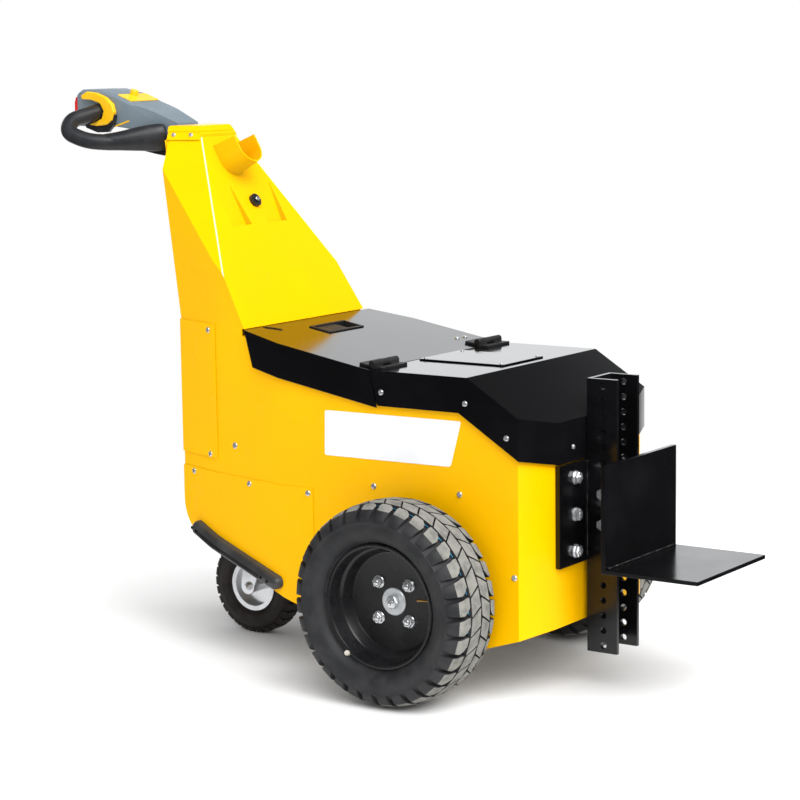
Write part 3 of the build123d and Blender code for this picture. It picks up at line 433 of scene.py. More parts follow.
# Mesh helpers
def finish_mesh(name, mesh_data, body, materials, sharp_angle=35):
    """Object made of a bmesh, riding on a CAD body."""
    bmesh.ops.recalc_face_normals(mesh_data, faces=mesh_data.faces)
    mesh = bpy.data.meshes.new(name)
    mesh_data.to_mesh(mesh)
    mesh_data.free()
    for material in materials:
        mesh.materials.append(material)
    mesh.shade_smooth()
    mesh.set_sharp_from_angle(angle=radians(sharp_angle))
    piece = bpy.data.objects.new(name, mesh)
    bpy.context.scene.collection.objects.link(piece)
    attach(piece, body)
    return piece


def facing_frame(origin, facing):
    """Matrix that puts a piece's own Z along facing, at origin."""
    return Matrix.Translation(origin) @ facing.to_track_quat("Z", "Y").to_matrix().to_4x4()


def lathe(mesh_data, frame_matrix, profile, steps):
    """Turned form on a frame's Z axis, from (radius, height) in mm, closed where the radius is 0."""
    rings = []
    for radius, height in profile:
        if radius == 0:
            rings.append([mesh_data.verts.new(frame_matrix @ Vector((0, 0, height * MM)))])
            continue
        ring = []
        for i in range(steps):
            turn = 2 * pi * i / steps
            local = Vector((radius * cos(turn) * MM, radius * sin(turn) * MM, height * MM))
            ring.append(mesh_data.verts.new(frame_matrix @ local))
        rings.append(ring)
    for low, high in zip(rings, rings[1:]):
        for i in range(steps):
            j = (i + 1) % steps
            if len(low) == 1:
                mesh_data.faces.new((low[0], high[i], high[j]))
            elif len(high) == 1:
                mesh_data.faces.new((low[i], low[j], high[0]))
            else:
                mesh_data.faces.new((low[i], low[j], high[j], high[i]))


def skin(mesh_data, rings, closed=False):
    """Faces from each ring to the next, and from the last to the first when closed."""
    steps = len(rings[0])
    for near, far in zip(rings, rings[1:] + rings[:1] if closed else rings[1:]):
        for i in range(steps):
            j = (i + 1) % steps
            mesh_data.faces.new((near[i], near[j], far[j], far[i]))


def thicken(mesh_data, corners, shift):
    """Plate on an outline, as thick as the shift."""
    face = mesh_data.faces.new([mesh_data.verts.new(corner) for corner in corners])
    raised = bmesh.ops.extrude_face_region(mesh_data, geom=[face])["geom"]
    moved = [v for v in raised if isinstance(v, bmesh.types.BMVert)]
    bmesh.ops.translate(mesh_data, verts=moved, vec=shift)


def meet_surface(node_name, start, direction):
    """Point and outward direction where a ray first meets a CAD node."""
    hit, place, normal, _ = nodes[node_name].ray_cast(start, direction)
    if not hit:
        raise ValueError(f"nothing to carry a piece on {node_name} at {tuple(start)}")
    if normal.dot(direction) > 0:
        normal = -normal
    return place, normal


# Button-head screws
screw_dome = (
    # share of the head's radius, share of its height
    (1.0, -0.4),
    (1.0, 0.25),
    (0.93, 0.6),
    (0.75, 0.88),
    (0.5, 1.0),
)
screw_socket = ((0.5, 1.0), (0.42, 0.2), (0, 0.15))
screw_steps = 18
screw_top_drop = 0.02


def button_screw(mesh_data, place, facing, radius, height):
    """Domed head with a hexagonal socket, sunk a little into what it holds."""
    frame_matrix = facing_frame(place, facing)
    lathe(mesh_data, frame_matrix, [(radius * a, height * b) for a, b in screw_dome], screw_steps)
    lathe(mesh_data, frame_matrix, [(radius * a, height * b) for a, b in screw_socket], 6)
    reach = radius * screw_dome[-1][0]
    rim = []
    for i in range(screw_steps):
        turn = 2 * pi * i / screw_steps
        rim.append(frame_matrix @ Vector((reach * cos(turn) * MM, reach * sin(turn) * MM, height * MM)))
    mesh_data.faces.new([mesh_data.verts.new(corner - facing * screw_top_drop * MM) for corner in rim])


side_screws = (
    # node, along X, height, radius
    ("body_shell", -107, 400, 6.2),
    ("body_shell", 93, 402, 6.2),
    ("body_shell", 215, 253, 6.2),
    ("body_shell", -477, 444, 7.0),
    ("rear_lower_panel", -621, 372, 6.2),
    ("rear_lower_panel", -432, 371, 6.2),
    ("rear_lower_panel", -266, 371, 6.2),
    ("rear_upper_panel", -556, 676, 6.2),
    ("rear_upper_panel", -558, 417, 6.2),
    ("console_cap", -720, 1069, 4.8),
    ("console_cap", -683, 1069, 4.8),
    ("front_cover", -81, 588, 5.8),
    ("front_cover", 112, 580, 5.8),
    ("front_cover", 204, 521, 5.8),
)
nose_screws = (
    # to the side, height, radius
    (93, 488, 5.0),
)
screw_height = 3.2
outside = 900


def body_screws():
    """Screws on both sides of the body, its panels, the cap and the cover."""
    mesh_data = bmesh.new()
    for side in (-1, 1):
        inward = Vector((0, -side, 0))
        for name, x, z, radius in side_screws:
            place, facing = meet_surface(name, at(x, side * outside, z), inward)
            button_screw(mesh_data, place, facing, radius, screw_height)
        for y, z, radius in nose_screws:
            place, facing = meet_surface("front_cover", at(outside, side * y, z), Vector((-1, 0, 0)))
            button_screw(mesh_data, place, facing, radius, screw_height)
    return finish_mesh("body_screws", mesh_data, "chassis", [zinc])


body_screws()

plate_low, plate_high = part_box("access_plate")
plate_screw_inset = 10


def access_plate_screws():
    """Small screws in the corners of the access plate."""
    mesh_data = bmesh.new()
    inset = plate_screw_inset * MM
    for x in (plate_low.x + inset, plate_high.x - inset):
        for y in (plate_low.y + inset, plate_high.y - inset):
            button_screw(mesh_data, Vector((x, y, plate_high.z)), Vector((0, 0, 1)), 3.8, 2.2)
    return finish_mesh("access_plate_screws", mesh_data, "chassis", [zinc])


access_plate_screws()

# Drive tyres: carcass and tread blocks, as half widths and radii in mm
pitch_count = 32
carcass_section = (
    # across from the middle, radius
    (48.5, 114.5),
    (49, 122.8),
    (51.5, 126.5),
    (55, 126),
    (59, 128),
    (66, 133),
    (71.5, 141),
    (74, 150),
    (74.4, 158),
    (74.0, 164.5),
    (74.6, 165.5),
    (74.4, 167),
    (73.0, 167.5),
    (70.5, 169.5),
    (65, 174.5),
    (57, 180),
    (44, 187),
    (0, 191),
)
crown = (
    # across from the middle, radius of the blocks' faces
    (0, 199),
    (30, 197.5),
    (50, 193.5),
    (62, 188),
    (69, 181),
    (73.5, 171),
)
block_depth = 12
block_edge = 0.7


def crown_radius(across):
    """Radius of the block faces at a distance from the tyre's middle."""
    across = abs(across)
    for (v0, r0), (v1, r1) in zip(crown, crown[1:]):
        if across <= v1:
            return r0 + (r1 - r0) * (across - v0) / (v1 - v0)
    return crown[-1][1]


# Tread blocks: stations across the tyre, each with the block's start and end as shares of a pitch
shoulder_block = (
    (34, 0.50, 1.00),
    (42, 0.24, 1.00),
    (50, 0.11, 0.93),
    (60, 0.12, 0.88),
    (68, 0.16, 0.84),
    (73, 0.19, 0.81),
)
centre_block = (
    (1.5, 0.42, 1.34),
    (16, 0.21, 1.14),
    (31, -0.02, 0.92),
)
dusty_reach = 61


def wheel_centre(side):
    """Middle of a drive wheel on its axle."""
    return Vector((axle_x, side * tyre_y, axle_z))


def wheel_point(centre, side, across, radius, turn):
    """Point of a wheel: across outward from its middle, radius and turn about its axle."""
    return centre + Vector((radius * cos(turn) * MM, side * across * MM, radius * sin(turn) * MM))


def wheel_form(mesh_data, centre, side, section, steps):
    """Closed section, as (across, radius) in mm, turned about a wheel's axle."""
    turns = [2 * pi * i / steps for i in range(steps)]
    rings = []
    for across, radius in section:
        corners = [wheel_point(centre, side, across, radius, turn) for turn in turns]
        rings.append([mesh_data.verts.new(corner) for corner in corners])
    skin(mesh_data, rings, closed=True)


def tread_block(mesh_data, centre, side, stations, hand, start):
    """One raised block with a worn upper edge and walls down into the carcass."""
    pitch = 2 * pi / pitch_count
    count = len(stations)

    def outline(inset, drop):
        """Loop round the block: up one edge and back down the other."""
        loop = []
        for i, (across, low, high) in enumerate(stations):
            shift = inset if i == 0 else -inset if i == count - 1 else 0
            share = inset / (crown_radius(across) * pitch)
            loop.append((across + shift, low + share, high - share))
        first = [(v, a) for v, a, b in loop]
        last = [(v, b) for v, a, b in reversed(loop)]
        corners = [
            wheel_point(centre, side, hand * v, crown_radius(v) - drop, (start + u) * pitch)
            for v, u in first + last
        ]
        return [mesh_data.verts.new(corner) for corner in corners]

    top = outline(block_edge, 0)
    shoulder = outline(0, block_edge)
    foot = outline(0, block_depth)
    total = 2 * count
    for i in range(count - 1):
        face = mesh_data.faces.new((top[i], top[i + 1], top[total - 2 - i], top[total - 1 - i]))
        face.material_index = 1 if stations[i + 1][0] <= dusty_reach else 0
    for upper, lower in ((top, shoulder), (shoulder, foot)):
        for i in range(total):
            j = (i + 1) % total
            mesh_data.faces.new((upper[i], upper[j], lower[j], lower[i]))


mark_across = (31.2, 33.8)
mark_turn = (0.12, 0.42)
mark_radius = 190.4


def groove_mark(mesh_data, centre, side, hand, start):
    """Short coloured dash in the groove between two rows of blocks."""
    pitch = 2 * pi / pitch_count
    corners = [
        mesh_data.verts.new(wheel_point(centre, side, hand * v, mark_radius, (start + u) * pitch))
        for v, u in ((mark_across[0], mark_turn[0]), (mark_across[1], mark_turn[0]),
                     (mark_across[1], mark_turn[1]), (mark_across[0], mark_turn[1]))
    ]
    mesh_data.faces.new(corners).material_index = 2


def drive_tyre(name, side):
    """Tyre with a ringed side wall and four rows of tread blocks."""
    mesh_data = bmesh.new()
    centre = wheel_centre(side)
    half_section = carcass_section[:-1]
    section = [(-v, r) for v, r in half_section] + [(v, r) for v, r in reversed(half_section)]
    wheel_form(mesh_data, centre, side, section, 3 * pitch_count)
    for i in range(pitch_count):
        tread_block(mesh_data, centre, side, shoulder_block, 1, i)
        tread_block(mesh_data, centre, side, centre_block, 1, i)
        tread_block(mesh_data, centre, side, centre_block, -1, i + 0.5)
        tread_block(mesh_data, centre, side, shoulder_block, -1, i + 0.5)
        for hand, shift in ((1, 0), (-1, 0.5)):
            groove_mark(mesh_data, centre, side, hand, i + shift)
    piece = finish_mesh(name, mesh_data, "drive_wheel_" + name.split("_")[-1],
                        [tyre_rubber, tread_dust, groove_blue], 40)
    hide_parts(name.replace("treaded_", ""))
    return piece


drive_tyre("treaded_tyre_right", -1)
drive_tyre("treaded_tyre_left", 1)


# Drive rims and hubs, turned on the wheel's axle, in mm across from the tyre's middle
rim_section = (
    # across, radius
    (49.3, 122.3),
    (52.4, 122.3),
    (53.6, 120.8),
    (53.9, 118),
    (52.8, 115),
    (49.5, 113),
    (30, 111.5),
    (27, 110),
    (25, 106),
    (23, 104),
    (4, 98.5),
    (1, 96.5),
    (0, 93),
    (0, 24),
    (-4.5, 24),
    (-4.5, 98),
    (-8, 101),
    (-46, 111),
    (-52.8, 115),
    (-53.9, 118),
    (-53.6, 120.8),
    (-52.4, 122.3),
    (-49.3, 122.3),
    (-48.6, 113.8),
    (48.6, 113.8),
)
rim_steps = 72
hub_section = (
    # radius, across
    (0, -145),
    (20, -145),
    (20, -75),
    (40, -75),
    (40, -15),
    (62, -15),
    (62, -5),
    (25, -5),
    (27, -4.6),
    (27, 1.2),
    (25.6, 2.4),
    (13, 2.4),
    (12.4, 3.4),
    (0, 3.6),
)
axle_nut = ((13.8, 3), (13.8, 9.5), (12.2, 11), (8, 11.4), (0, 11.4))
grease_nipple = ((5, 11), (5, 14), (3.4, 15), (3.4, 17), (4.2, 18), (3.6, 19.6), (2, 20.4), (0, 20.5))
stud_reach = 49.5
stud_count = 4
nut_turn = 1.7
nut_flange = ((12.8, 0), (12.8, 1.6), (11.6, 2.6), (9, 2.8))
nut_hex = ((11, 2), (11, 8.2), (9.6, 9.6), (7, 9.8))
nut_dome = ((7.2, 9.4), (6.9, 11), (5.6, 12.6), (3.2, 13.6), (0, 13.9))


def drive_rim(name, side, body):
    """Rim with rolled lips, stepped barrel and deep disc."""
    mesh_data = bmesh.new()
    wheel_form(mesh_data, wheel_centre(side), side, rim_section, rim_steps)
    piece = finish_mesh(name, mesh_data, body, [rim_black], 32)
    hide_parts("rim_" + name.split("_")[-1])


def drive_hub(name, side, body):
    """Hub with its bright face, axle nut, grease nipple and four domed wheel nuts."""
    mesh_data = bmesh.new()
    outward = Vector((0, side, 0))
    centre = wheel_centre(side)
    hub_frame = facing_frame(centre, outward)
    lathe(mesh_data, hub_frame, hub_section, 40)
    piece = finish_mesh(name, mesh_data, body, [hub_silver], 32)
    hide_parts("hub_" + name.split("_")[-1])
    nuts = bmesh.new()
    lathe(nuts, hub_frame, axle_nut, 6)
    lathe(nuts, hub_frame, grease_nipple, 16)
    for i in range(stud_count):
        turn = 2 * pi * (i + 0.5) / stud_count
        place = wheel_point(centre, side, 0, stud_reach, turn)
        nut_frame = facing_frame(place, outward) @ Matrix.Rotation(turn * nut_turn, 4, "Z")
        lathe(nuts, nut_frame, nut_flange, 20)
        lathe(nuts, nut_frame, nut_hex, 6)
        lathe(nuts, nut_frame, nut_dome, 16)
    finish_mesh("wheel_nuts_" + name.split("_")[-1], nuts, body, [zinc], 32)


# Valve stem and cap, with the place of each: along X, out from the tyre's middle, height
stem_profile = ((3.4, 0), (3.4, 4), (2.3, 5), (2.3, 34), (3, 35), (3, 42), (0, 42.5))
stem_place = (104, 12, 214)
cap_profile = ((5.4, 0), (5.4, 8), (4.6, 10), (2.6, 10.8), (0, 11))
cap_place = (-74, 50, 100)


def valve_stem(name, side, body):
    """Brass stem inside the rim, and the white cap outside it at the tyre's bead."""
    stem = bmesh.new()
    x, out, z = stem_place
    stem_facing = Vector((-1, 0, -0.04)).normalized()
    lathe(stem, facing_frame(at(x, side * (tyre_y / MM + out), z), stem_facing), stem_profile, 12)
    finish_mesh(f"valve_stem_{name}", stem, body, [brass])
    cap = bmesh.new()
    x, out, z = cap_place
    cap_facing = Vector((0.2, side, 0.25)).normalized()
    lathe(cap, facing_frame(at(x, side * (tyre_y / MM + out), z), cap_facing), cap_profile, 14)
    finish_mesh(f"valve_cap_{name}", cap, body, [valve_white])


for wheel_hand, wheel_side in (("right", -1), ("left", 1)):
    drive_rim("turned_rim_" + wheel_hand, wheel_side, "drive_wheel_" + wheel_hand)
    drive_hub("turned_hub_" + wheel_hand, wheel_side, "drive_wheel_" + wheel_hand)
    valve_stem(wheel_hand, wheel_side, "drive_wheel_" + wheel_hand)

# Foot guards: rounded rubber strips on the lower panel, in mm
guard_line = (
    # along X, height of the strip's middle
    (-613, 260),
    (-585, 250.5),
    (-550, 238.5),
    (-500, 223.5),
    (-440, 206.5),
    (-380, 189.5),
    (-333, 176.5),
)
guard_section = (
    # out from the panel, up from the middle
    (-1, -13.5),
    (14, -13.5),
    (17.5, -11.5),
    (19, -8.5),
    (19.3, -4.5),
    (19.5, -0.5),
    (19.6, 1),
    (18.8, 5),
    (16.4, 9.5),
    (12, 12.8),
    (6, 14),
    (-1, 14),
)
guard_run = Vector((1, 0, -0.285))
guard_groove = (4, 5)
groove_reach = (-590, -390)
groove_sink = 5.5
guard_end = 13
guard_end_depth = 0.35
guard_steps = 56
fold_blend = (-14, -7, 7, 14)
# The guards' holes are short dark discs on the rubber: painted shade, not cut holes
guard_hole_places = (-607, -592, -380, -361)
guard_hole_out = 19.2
guard_hole_drop = 2.6
guard_hole = ((3.4, -2), (3.4, 0.6), (0, 0.6))


def guard_middle(x):
    """Height of the guard's middle line."""
    for (x0, z0), (x1, z1) in zip(guard_line, guard_line[1:]):
        if x <= x1:
            return z0 + (z1 - z0) * (x - x0) / (x1 - x0)
    return guard_line[-1][1]


def guard_spot(side, x):
    """Point on the panel's face, and the outward direction smoothed over its folds."""
    inward = Vector((0, -side, 0))
    place, facing = meet_surface("rear_lower_panel", at(x, side * outside, guard_middle(x)), inward)
    for shift in fold_blend:
        near = max(min(x + shift, guard_line[-1][0]), guard_line[0][0])
        start = at(near, side * outside, guard_middle(near))
        facing = facing + meet_surface("rear_lower_panel", start, inward)[1]
    facing.z = 0
    return place, facing.normalized()


def foot_guards():
    """D-shaped strips with rounded ends, a long groove and two holes at each end, the holes drawn as dark
    discs of painted shade.
    """
    strips = bmesh.new()
    holes = bmesh.new()
    first, last = guard_line[0][0], guard_line[-1][0]
    for side in (-1, 1):
        rings = []
        for i in range(guard_steps + 1):
            x = first + (last - first) * (1 - cos(pi * i / guard_steps)) / 2
            place, facing = guard_spot(side, x)
            along = (guard_run - facing * guard_run.dot(facing)).normalized()
            up = along.cross(facing)
            if up.z < 0:
                up = -up
            reach = min(x - first, last - x) / guard_end
            swell = 1 if reach >= 1 else max(1 - (1 - reach) ** 2, 0.02) ** 0.5
            bulge = guard_end_depth + (1 - guard_end_depth) * swell
            open_groove = groove_reach[0] < x < groove_reach[1]
            ring = []
            for k, (out, high) in enumerate(guard_section):
                depth = groove_sink if open_groove and k in guard_groove else 0
                spot = place + facing * ((out - depth) * bulge) * MM + up * high * swell * MM
                ring.append(strips.verts.new(spot))
            rings.append(ring)
        skin(strips, rings)
        for end in (rings[0], rings[-1]):
            strips.faces.new(end)
        for x in guard_hole_places:
            place, facing = guard_spot(side, x)
            spot = place + facing * guard_hole_out * MM - Vector((0, 0, guard_hole_drop * MM))
            lathe(holes, facing_frame(spot, facing), guard_hole, 14)
    piece = finish_mesh("rounded_foot_guards", strips, "chassis", [guard_rubber], 50)
    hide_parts("foot_guards")
    finish_mesh("foot_guard_holes", holes, "chassis", [painted_hole_shade])


foot_guards()

# Bracket bolts: washer and hexagonal head, in mm
bracket_face = 262
bracket_bolt_places = [(y, z) for y in (-88, 88) for z in (284, 356, 428)]
bolt_washer = ((13.6, -1), (13.6, 2.2), (13, 2.8), (8, 2.8))
bolt_hexagon = ((11.8, 2.5), (11.8, 9.4), (10.4, 11), (8.4, 11.4), (0, 11.4))
bolt_tip = ((5.6, 11), (5.6, 12.4), (4.8, 13.2), (0, 13.2))
bolt_turn = 0.4


def bracket_bolts():
    """Six bright bolts that hold the bracket plate."""
    mesh_data = bmesh.new()
    for i, (y, z) in enumerate(bracket_bolt_places):
        frame_matrix = facing_frame(at(bracket_face, y, z), Vector((1, 0, 0)))
        turned = frame_matrix @ Matrix.Rotation(bolt_turn * i, 4, "Z")
        lathe(mesh_data, frame_matrix, bolt_washer, 24)
        lathe(mesh_data, turned, bolt_hexagon, 6)
        lathe(mesh_data, frame_matrix, bolt_tip, 16)
    piece = finish_mesh("washered_bracket_bolts", mesh_data, "chassis", [zinc], 32)
    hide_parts("bracket_bolts")


bracket_bolts()

# Weld beads: start and end in mm, radius
weld_lines = (
    ((359.5, -134, 267.5), (359.5, 134, 267.5), 4.2),
    ((349.0, -136.5, 462), (349.0, -136.5, 440), 2.4),
    ((263.5, -45.5, 455), (263.5, -45.5, 268), 3.2),
    ((263.5, 45.5, 455), (263.5, 45.5, 268), 3.2),
)
ripple_pitch = 3.4
ripple_steps = 4


def weld_beads():
    """Rippled beads along the joints of the hitch."""
    mesh_data = bmesh.new()
    for start, end, radius in weld_lines:
        first, last = at(*start), at(*end)
        along = (last - first).normalized()
        count = int((last - first).length / (ripple_pitch * MM)) * ripple_steps
        frame_matrix = facing_frame(first, along)
        profile = [(0, 0)]
        for i in range(1, count):
            ripple = 0.82 + 0.18 * abs(sin(pi * i / ripple_steps))
            drift = 1 + 0.06 * sin(1.7 * i) + 0.05 * sin(0.37 * i)
            profile.append((radius * ripple * drift, i * ripple_pitch / ripple_steps))
        profile.append((0, count * ripple_pitch / ripple_steps))
        lathe(mesh_data, frame_matrix, profile, 8)
    finish_mesh("weld_beads", mesh_data, "chassis", [black_steel], 80)


weld_beads()

# Small pieces on the lid and the console
above = 900
lid_screw_places = ((-178, 176), (-176, 203))


def lid_screws():
    """Two small screws behind the left hinge."""
    mesh_data = bmesh.new()
    for x, y in lid_screw_places:
        place, facing = meet_surface("lid", at(x, y, above), Vector((0, 0, -1)))
        button_screw(mesh_data, place, facing, 5.4, 2.8)
    finish_mesh("lid_screws", mesh_data, "lid", [zinc])


lid_screws()

lid_slot_line = ((-426, -157), (-414, -147), (-401, -141))
lid_slot_layers = (
    # name, half width, rise over the lid, material
    ("lid_slot_edge", 5.5, 0.8, black_moulding),
    # The slot itself is a dark strip of painted shade, not a cut
    ("lid_slot", 3.4, 1.0, painted_hole_shade),
)


def lid_slot():
    """Small curved slot in the lid, drawn as a dark strip of painted shade, with a thin raised edge."""
    for name, radius, rise, material in lid_slot_layers:
        mesh_data = bmesh.new()
        spots = [meet_surface("lid", at(x, y, above), Vector((0, 0, -1))) for x, y in lid_slot_line]
        left, right = [], []
        for i, (place, facing) in enumerate(spots):
            ahead = spots[min(i + 1, len(spots) - 1)][0] - spots[max(i - 1, 0)][0]
            ahead.normalize()
            aside = facing.cross(ahead)
            left.append(place + aside * radius * MM)
            right.append(place - aside * radius * MM)
            if i == 0:
                left.insert(0, place - ahead * radius * MM)
            if i == len(spots) - 1:
                left.append(place + ahead * radius * MM)
        lift = spots[0][1] * rise * MM
        thicken(mesh_data, [corner - lift for corner in left + right[::-1]], 2 * lift)
        finish_mesh(name, mesh_data, "lid", [material])


lid_slot()

# Flange of the front cover behind each end of its joint with the lid: corners in mm along X and up
flange_corners = ((-121, 626), (-102, 626), (-86, 564), (-104, 564))
flange_inner = 237.2
flange_thick = 3
flange_edge = 0.6


def cover_joint_flanges():
    """Black flange that closes the gap between the lid's skirt and the cover's."""
    mesh_data = bmesh.new()
    for side in (-1, 1):
        corners = [at(x, side * flange_inner, z) for x, z in flange_corners]
        thicken(mesh_data, corners, Vector((0, side * flange_thick * MM, 0)))
    rounded = mesh_data.edges[:]
    bmesh.ops.bevel(mesh_data, geom=rounded, offset=flange_edge * MM, segments=2, affect="EDGES", profile=0.5)
    finish_mesh("cover_joint_flanges", mesh_data, "chassis", [black_gloss])


cover_joint_flanges()

key_low, key_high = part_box("key_switch")
tower_facing = Vector((0.864, 0, 0.503))
key_ring = ((5.4, -1), (5.4, 0.8), (4.6, 1.4), (4.2, 0.9), (0, 0.9))
key_slot_size = (1.2, 6, 2.6)


def key_barrel():
    """Bright ring and barrel of the key switch, with a slot for the key drawn as a small dark box of painted
    shade.
    """
    middle = (key_low + key_high) / 2
    place, _ = meet_surface("key_switch", middle + tower_facing * 0.1, -tower_facing)
    ring_frame = facing_frame(place, tower_facing)
    mesh_data = bmesh.new()
    lathe(mesh_data, ring_frame, key_ring, 20)
    finish_mesh("key_barrel", mesh_data, "chassis", [zinc])
    # The key slot is a small dark box of painted shade, not a cut
    slot = bmesh.new()
    slot_frame = ring_frame @ Matrix.Diagonal((*[size * MM for size in key_slot_size], 1))
    bmesh.ops.create_cube(slot, size=1, matrix=slot_frame)
    finish_mesh("key_slot", slot, "chassis", [painted_hole_shade])


key_barrel()

# Roots of the loop grips, whose sections lie across the way they run
arm_sections = (
    # along X, to the side, height, half width, half height
    (-886, 130, 1054.5, 16.4, 16.4),
    (-864, 114, 1054.5, 18, 18.2),
    (-842, 98, 1056.5, 19.5, 21.5),
    (-820, 81, 1059.5, 20.5, 25.5),
    (-798, 64, 1061.5, 20, 28.5),
    (-778, 51, 1062, 17, 30),
    (-766, 44, 1062, 12, 28),
)
arm_steps = 28
arm_across_x = 0.6
arm_across_y = 0.8


def tiller_arms():
    """Swelling roots of the two loop grips, where they run into the head's base."""
    mesh_data = bmesh.new()
    for side in (-1, 1):
        rings = []
        for x, y, z, half_width, half_height in arm_sections:
            ring = []
            for i in range(arm_steps):
                turn = 2 * pi * i / arm_steps
                across, high = cos(turn), sin(turn)
                ring.append(mesh_data.verts.new(at(
                    x + arm_across_x * half_width * across,
                    side * (y + arm_across_y * half_width * across),
                    z + half_height * high)))
            rings.append(ring)
        skin(mesh_data, rings)
        mesh_data.faces.new(rings[0])
        mesh_data.faces.new(rings[-1])
    piece = finish_mesh("tiller_arms", mesh_data, "chassis", [grip_rubber], 60)
    smooth = piece.modifiers.new("smooth_form", "SUBSURF")
    smooth.levels = 1
    smooth.render_levels = 1


tiller_arms()

# Battery fittings, in mm along X and to the side
battery_top = 545
post_places = [(-385, y) for y in (-110, -60, 60, 110)]
post_profile = ((11, -1), (11, 3), (8.6, 4), (8, 15), (7, 16.5), (0, 16.5))
cap_places = [(-345 + 38 * i, row) for row in (-88, 88) for i in range(6)]
vent_cap = ((13, -1), (13, 5), (12, 6), (5, 6), (4, 8), (0, 8))


def battery_fittings():
    """Lead posts and vent caps on the batteries."""
    posts = bmesh.new()
    caps = bmesh.new()
    for fittings, places, profile in ((posts, post_places, post_profile), (caps, cap_places, vent_cap)):
        for x, y in places:
            lathe(fittings, facing_frame(at(x, y, battery_top), Vector((0, 0, 1))), profile, 20)
    finish_mesh("battery_posts", posts, "chassis", [hub_silver])
    finish_mesh("battery_caps", caps, "chassis", [black_moulding])


battery_fittings()

# Yellow inlay: corners in mm along X and up, and its faces out from the middle
stripe_corners = ((-903, 1082.5), (-902, 1086), (-862, 1098), (-860, 1095))
stripe_outer = 55.6
stripe_inner = 54


def head_stripes():
    """Narrow yellow inlay on each side of the tiller head."""
    mesh_data = bmesh.new()
    for side in (-1, 1):
        front, back = (
            [mesh_data.verts.new(at(x, side * y, z)) for x, z in stripe_corners]
            for y in (stripe_outer, stripe_inner)
        )
        mesh_data.faces.new(front)
        skin(mesh_data, [front, back])
    finish_mesh("head_stripes", mesh_data, "chassis", [yellow_moulding])


head_stripes()

# Blank label plate on each side of the body: corners in mm along X and up
label_corners = ((-222, 542), (98, 544), (73, 454), (-224, 452))
label_thick = 0.8
label_rounding = 5
body_low, body_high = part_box("body_shell")


def blank_label(side):
    """Thin plain plate with rounded corners, stuck on the side sheet."""
    mesh_data = bmesh.new()
    face_y = (body_high.y if side > 0 else body_low.y) / MM
    corners = [at(x, face_y, z) for x, z in label_corners]
    thicken(mesh_data, corners, Vector((0, side * label_thick * MM, 0)))
    shortest = 0.5 * label_thick * MM
    upright = [e for e in mesh_data.edges if abs((e.verts[0].co - e.verts[1].co).y) > shortest]
    bmesh.ops.bevel(
        mesh_data, geom=upright, offset=label_rounding * MM, segments=4, affect="EDGES", profile=0.5)
    hand = "left" if side > 0 else "right"
    finish_mesh(f"blank_label_{hand}", mesh_data, "chassis", [label_white])


blank_label(-1)
blank_label(1)


# Floor, lights and camera
floor_half = 14


def floor_material():
    """White that takes soft shadows near the machine and fades to plain white further off."""
    material = bpy.data.materials.new("studio_floor_white")
    material.use_nodes = True
    tree = material.node_tree
    shader = tree.nodes["Principled BSDF"]
    shader.inputs["Base Color"].default_value = (0.9, 0.9, 0.9, 1)
    shader.inputs["Roughness"].default_value = 0.9
    shader.inputs["Specular IOR Level"].default_value = 0.1
    links = tree.links
    place = tree.nodes.new("ShaderNodeTexCoord")
    seen = tree.nodes.new("ShaderNodeLightPath")
    distance = tree.nodes.new("ShaderNodeVectorMath")
    distance.operation = "LENGTH"
    links.new(place.outputs["Object"], distance.inputs[0])
    bright_corner = tree.nodes.new("ShaderNodeVectorMath")
    bright_corner.operation = "DISTANCE"
    bright_corner.inputs[1].default_value = (-2.2, 3.2, 0)
    links.new(place.outputs["Object"], bright_corner.inputs[0])
    outside_corner = smooth_range(tree, bright_corner.outputs["Value"], 2.4, 3.3)
    beyond_machine = smooth_range(tree, distance.outputs["Value"], 0.75, 1.25)
    dark_room = tree.nodes.new("ShaderNodeEmission")
    dark_room.inputs["Color"].default_value = (0.03, 0.03, 0.033, 1)
    reflect = tree.nodes.new("ShaderNodeMixShader")
    dimmed = product(tree, outside_corner, beyond_machine)
    links.new(product(tree, dimmed, seen.outputs["Is Glossy Ray"]), reflect.inputs["Fac"])
    links.new(shader.outputs["BSDF"], reflect.inputs[1])
    links.new(dark_room.outputs["Emission"], reflect.inputs[2])
    plain = tree.nodes.new("ShaderNodeEmission")
    plain.inputs["Color"].default_value = (1, 1, 1, 1)
    mix = tree.nodes.new("ShaderNodeMixShader")
    fade = smooth_range(tree, distance.outputs["Value"], 1.1, 2.1)
    links.new(product(tree, fade, seen.outputs["Is Camera Ray"]), mix.inputs["Fac"])
    links.new(reflect.outputs["Shader"], mix.inputs[1])
    links.new(plain.outputs["Emission"], mix.inputs[2])
    links.new(mix.outputs["Shader"], tree.nodes["Material Output"].inputs["Surface"])
    return material


def floor():
    """Plain white floor, larger than the view."""
    mesh_data = bmesh.new()
    signs = ((-1, -1), (1, -1), (1, 1), (-1, 1))
    mesh_data.faces.new([mesh_data.verts.new((x * floor_half, y * floor_half, 0)) for x, y in signs])
    mesh = bpy.data.meshes.new("studio_floor")
    mesh_data.to_mesh(mesh)
    mesh_data.free()
    mesh.materials.append(floor_material())
    plane = bpy.data.objects.new("studio_floor", mesh)
    bpy.context.scene.collection.objects.link(plane)


def sun(name, heading, strength, softness):
    """Even soft light from one side; heading points the way the light goes."""
    data = bpy.data.lights.new(name, "SUN")
    data.energy = strength
    data.angle = radians(softness)
    lamp = bpy.data.objects.new(name, data)
    lamp.rotation_mode = "QUATERNION"
    lamp.rotation_quaternion = Vector(heading).to_track_quat("-Z", "Y")
    bpy.context.scene.collection.objects.link(lamp)


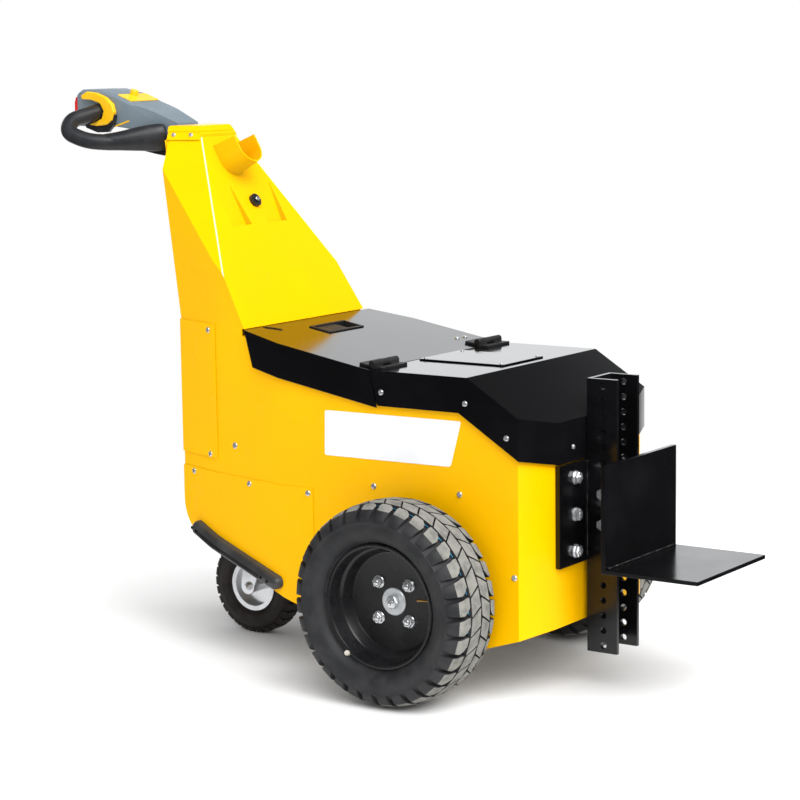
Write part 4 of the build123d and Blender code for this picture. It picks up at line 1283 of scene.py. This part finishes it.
def studio_world():
    """White to the camera, even for soft light, with a bright backdrop in reflections."""
    world = bpy.data.worlds.new("studio")
    bpy.context.scene.world = world
    world.use_nodes = True
    tree = world.node_tree
    tree.nodes.clear()
    links = tree.links
    place = tree.nodes.new("ShaderNodeTexCoord")
    split = tree.nodes.new("ShaderNodeSeparateXYZ")
    links.new(place.outputs["Generated"], split.inputs["Vector"])
    height = smooth_range(tree, split.outputs["Z"], 0.34, 0.53, 1.5, 0.05)
    towards = tree.nodes.new("ShaderNodeVectorMath")
    towards.operation = "DOT_PRODUCT"
    towards.inputs[1].default_value = (-0.56, 0.80, 0.20)
    links.new(place.outputs["Generated"], towards.inputs[0])
    depth = smooth_range(tree, towards.outputs["Value"], 0.55, 0.90, 0.04, 1.0)
    mirrored = tree.nodes.new("ShaderNodeBackground")
    mirrored.inputs["Color"].default_value = (0.97, 0.985, 1.0, 1)
    even = tree.nodes.new("ShaderNodeBackground")
    even.inputs["Color"].default_value = (1, 1, 1, 1)
    even.inputs["Strength"].default_value = 0.62
    white = tree.nodes.new("ShaderNodeBackground")
    white.inputs["Color"].default_value = (1, 1, 1, 1)
    seen = tree.nodes.new("ShaderNodeLightPath")
    room = tree.nodes.new("ShaderNodeMixShader")
    mix = tree.nodes.new("ShaderNodeMixShader")
    out = tree.nodes.new("ShaderNodeOutputWorld")
    links.new(product(tree, height, depth), mirrored.inputs["Strength"])
    links.new(seen.outputs["Is Glossy Ray"], room.inputs["Fac"])
    links.new(even.outputs["Background"], room.inputs[1])
    links.new(mirrored.outputs["Background"], room.inputs[2])
    links.new(seen.outputs["Is Camera Ray"], mix.inputs["Fac"])
    links.new(room.outputs["Shader"], mix.inputs[1])
    links.new(white.outputs["Background"], mix.inputs[2])
    links.new(mix.outputs["Shader"], out.inputs["Surface"])


def camera():
    """Camera at the photograph's angle and distance."""
    azimuth = radians(34.49)
    elevation = radians(8.53)
    roll = radians(-0.78)
    place = Vector((2.85424, -4.10483, 1.279))
    forward = Vector((-sin(azimuth) * cos(elevation), cos(azimuth) * cos(elevation), -sin(elevation)))
    level = Vector((cos(azimuth), sin(azimuth), 0))
    upward = level.cross(forward)
    right = cos(roll) * level + sin(roll) * upward
    up = -sin(roll) * level + cos(roll) * upward
    lens = bpy.data.cameras.new("photo_camera")
    lens.sensor_width = 36
    lens.lens = 110.66
    lens.clip_end = 60
    body = bpy.data.objects.new("photo_camera", lens)
    bpy.context.scene.collection.objects.link(body)
    turn = Matrix((right, up, -forward)).transposed()
    body.matrix_world = Matrix.Translation(place) @ turn.to_4x4()
    bpy.context.scene.camera = body


floor()
studio_world()
sun("main_light", (-0.50, 0.50, -0.70), 2.0, 40)
sun("front_light", (-0.70, 0.06, -0.71), 2.15, 45)
camera()
bpy.context.scene.view_settings.view_transform = "Standard"
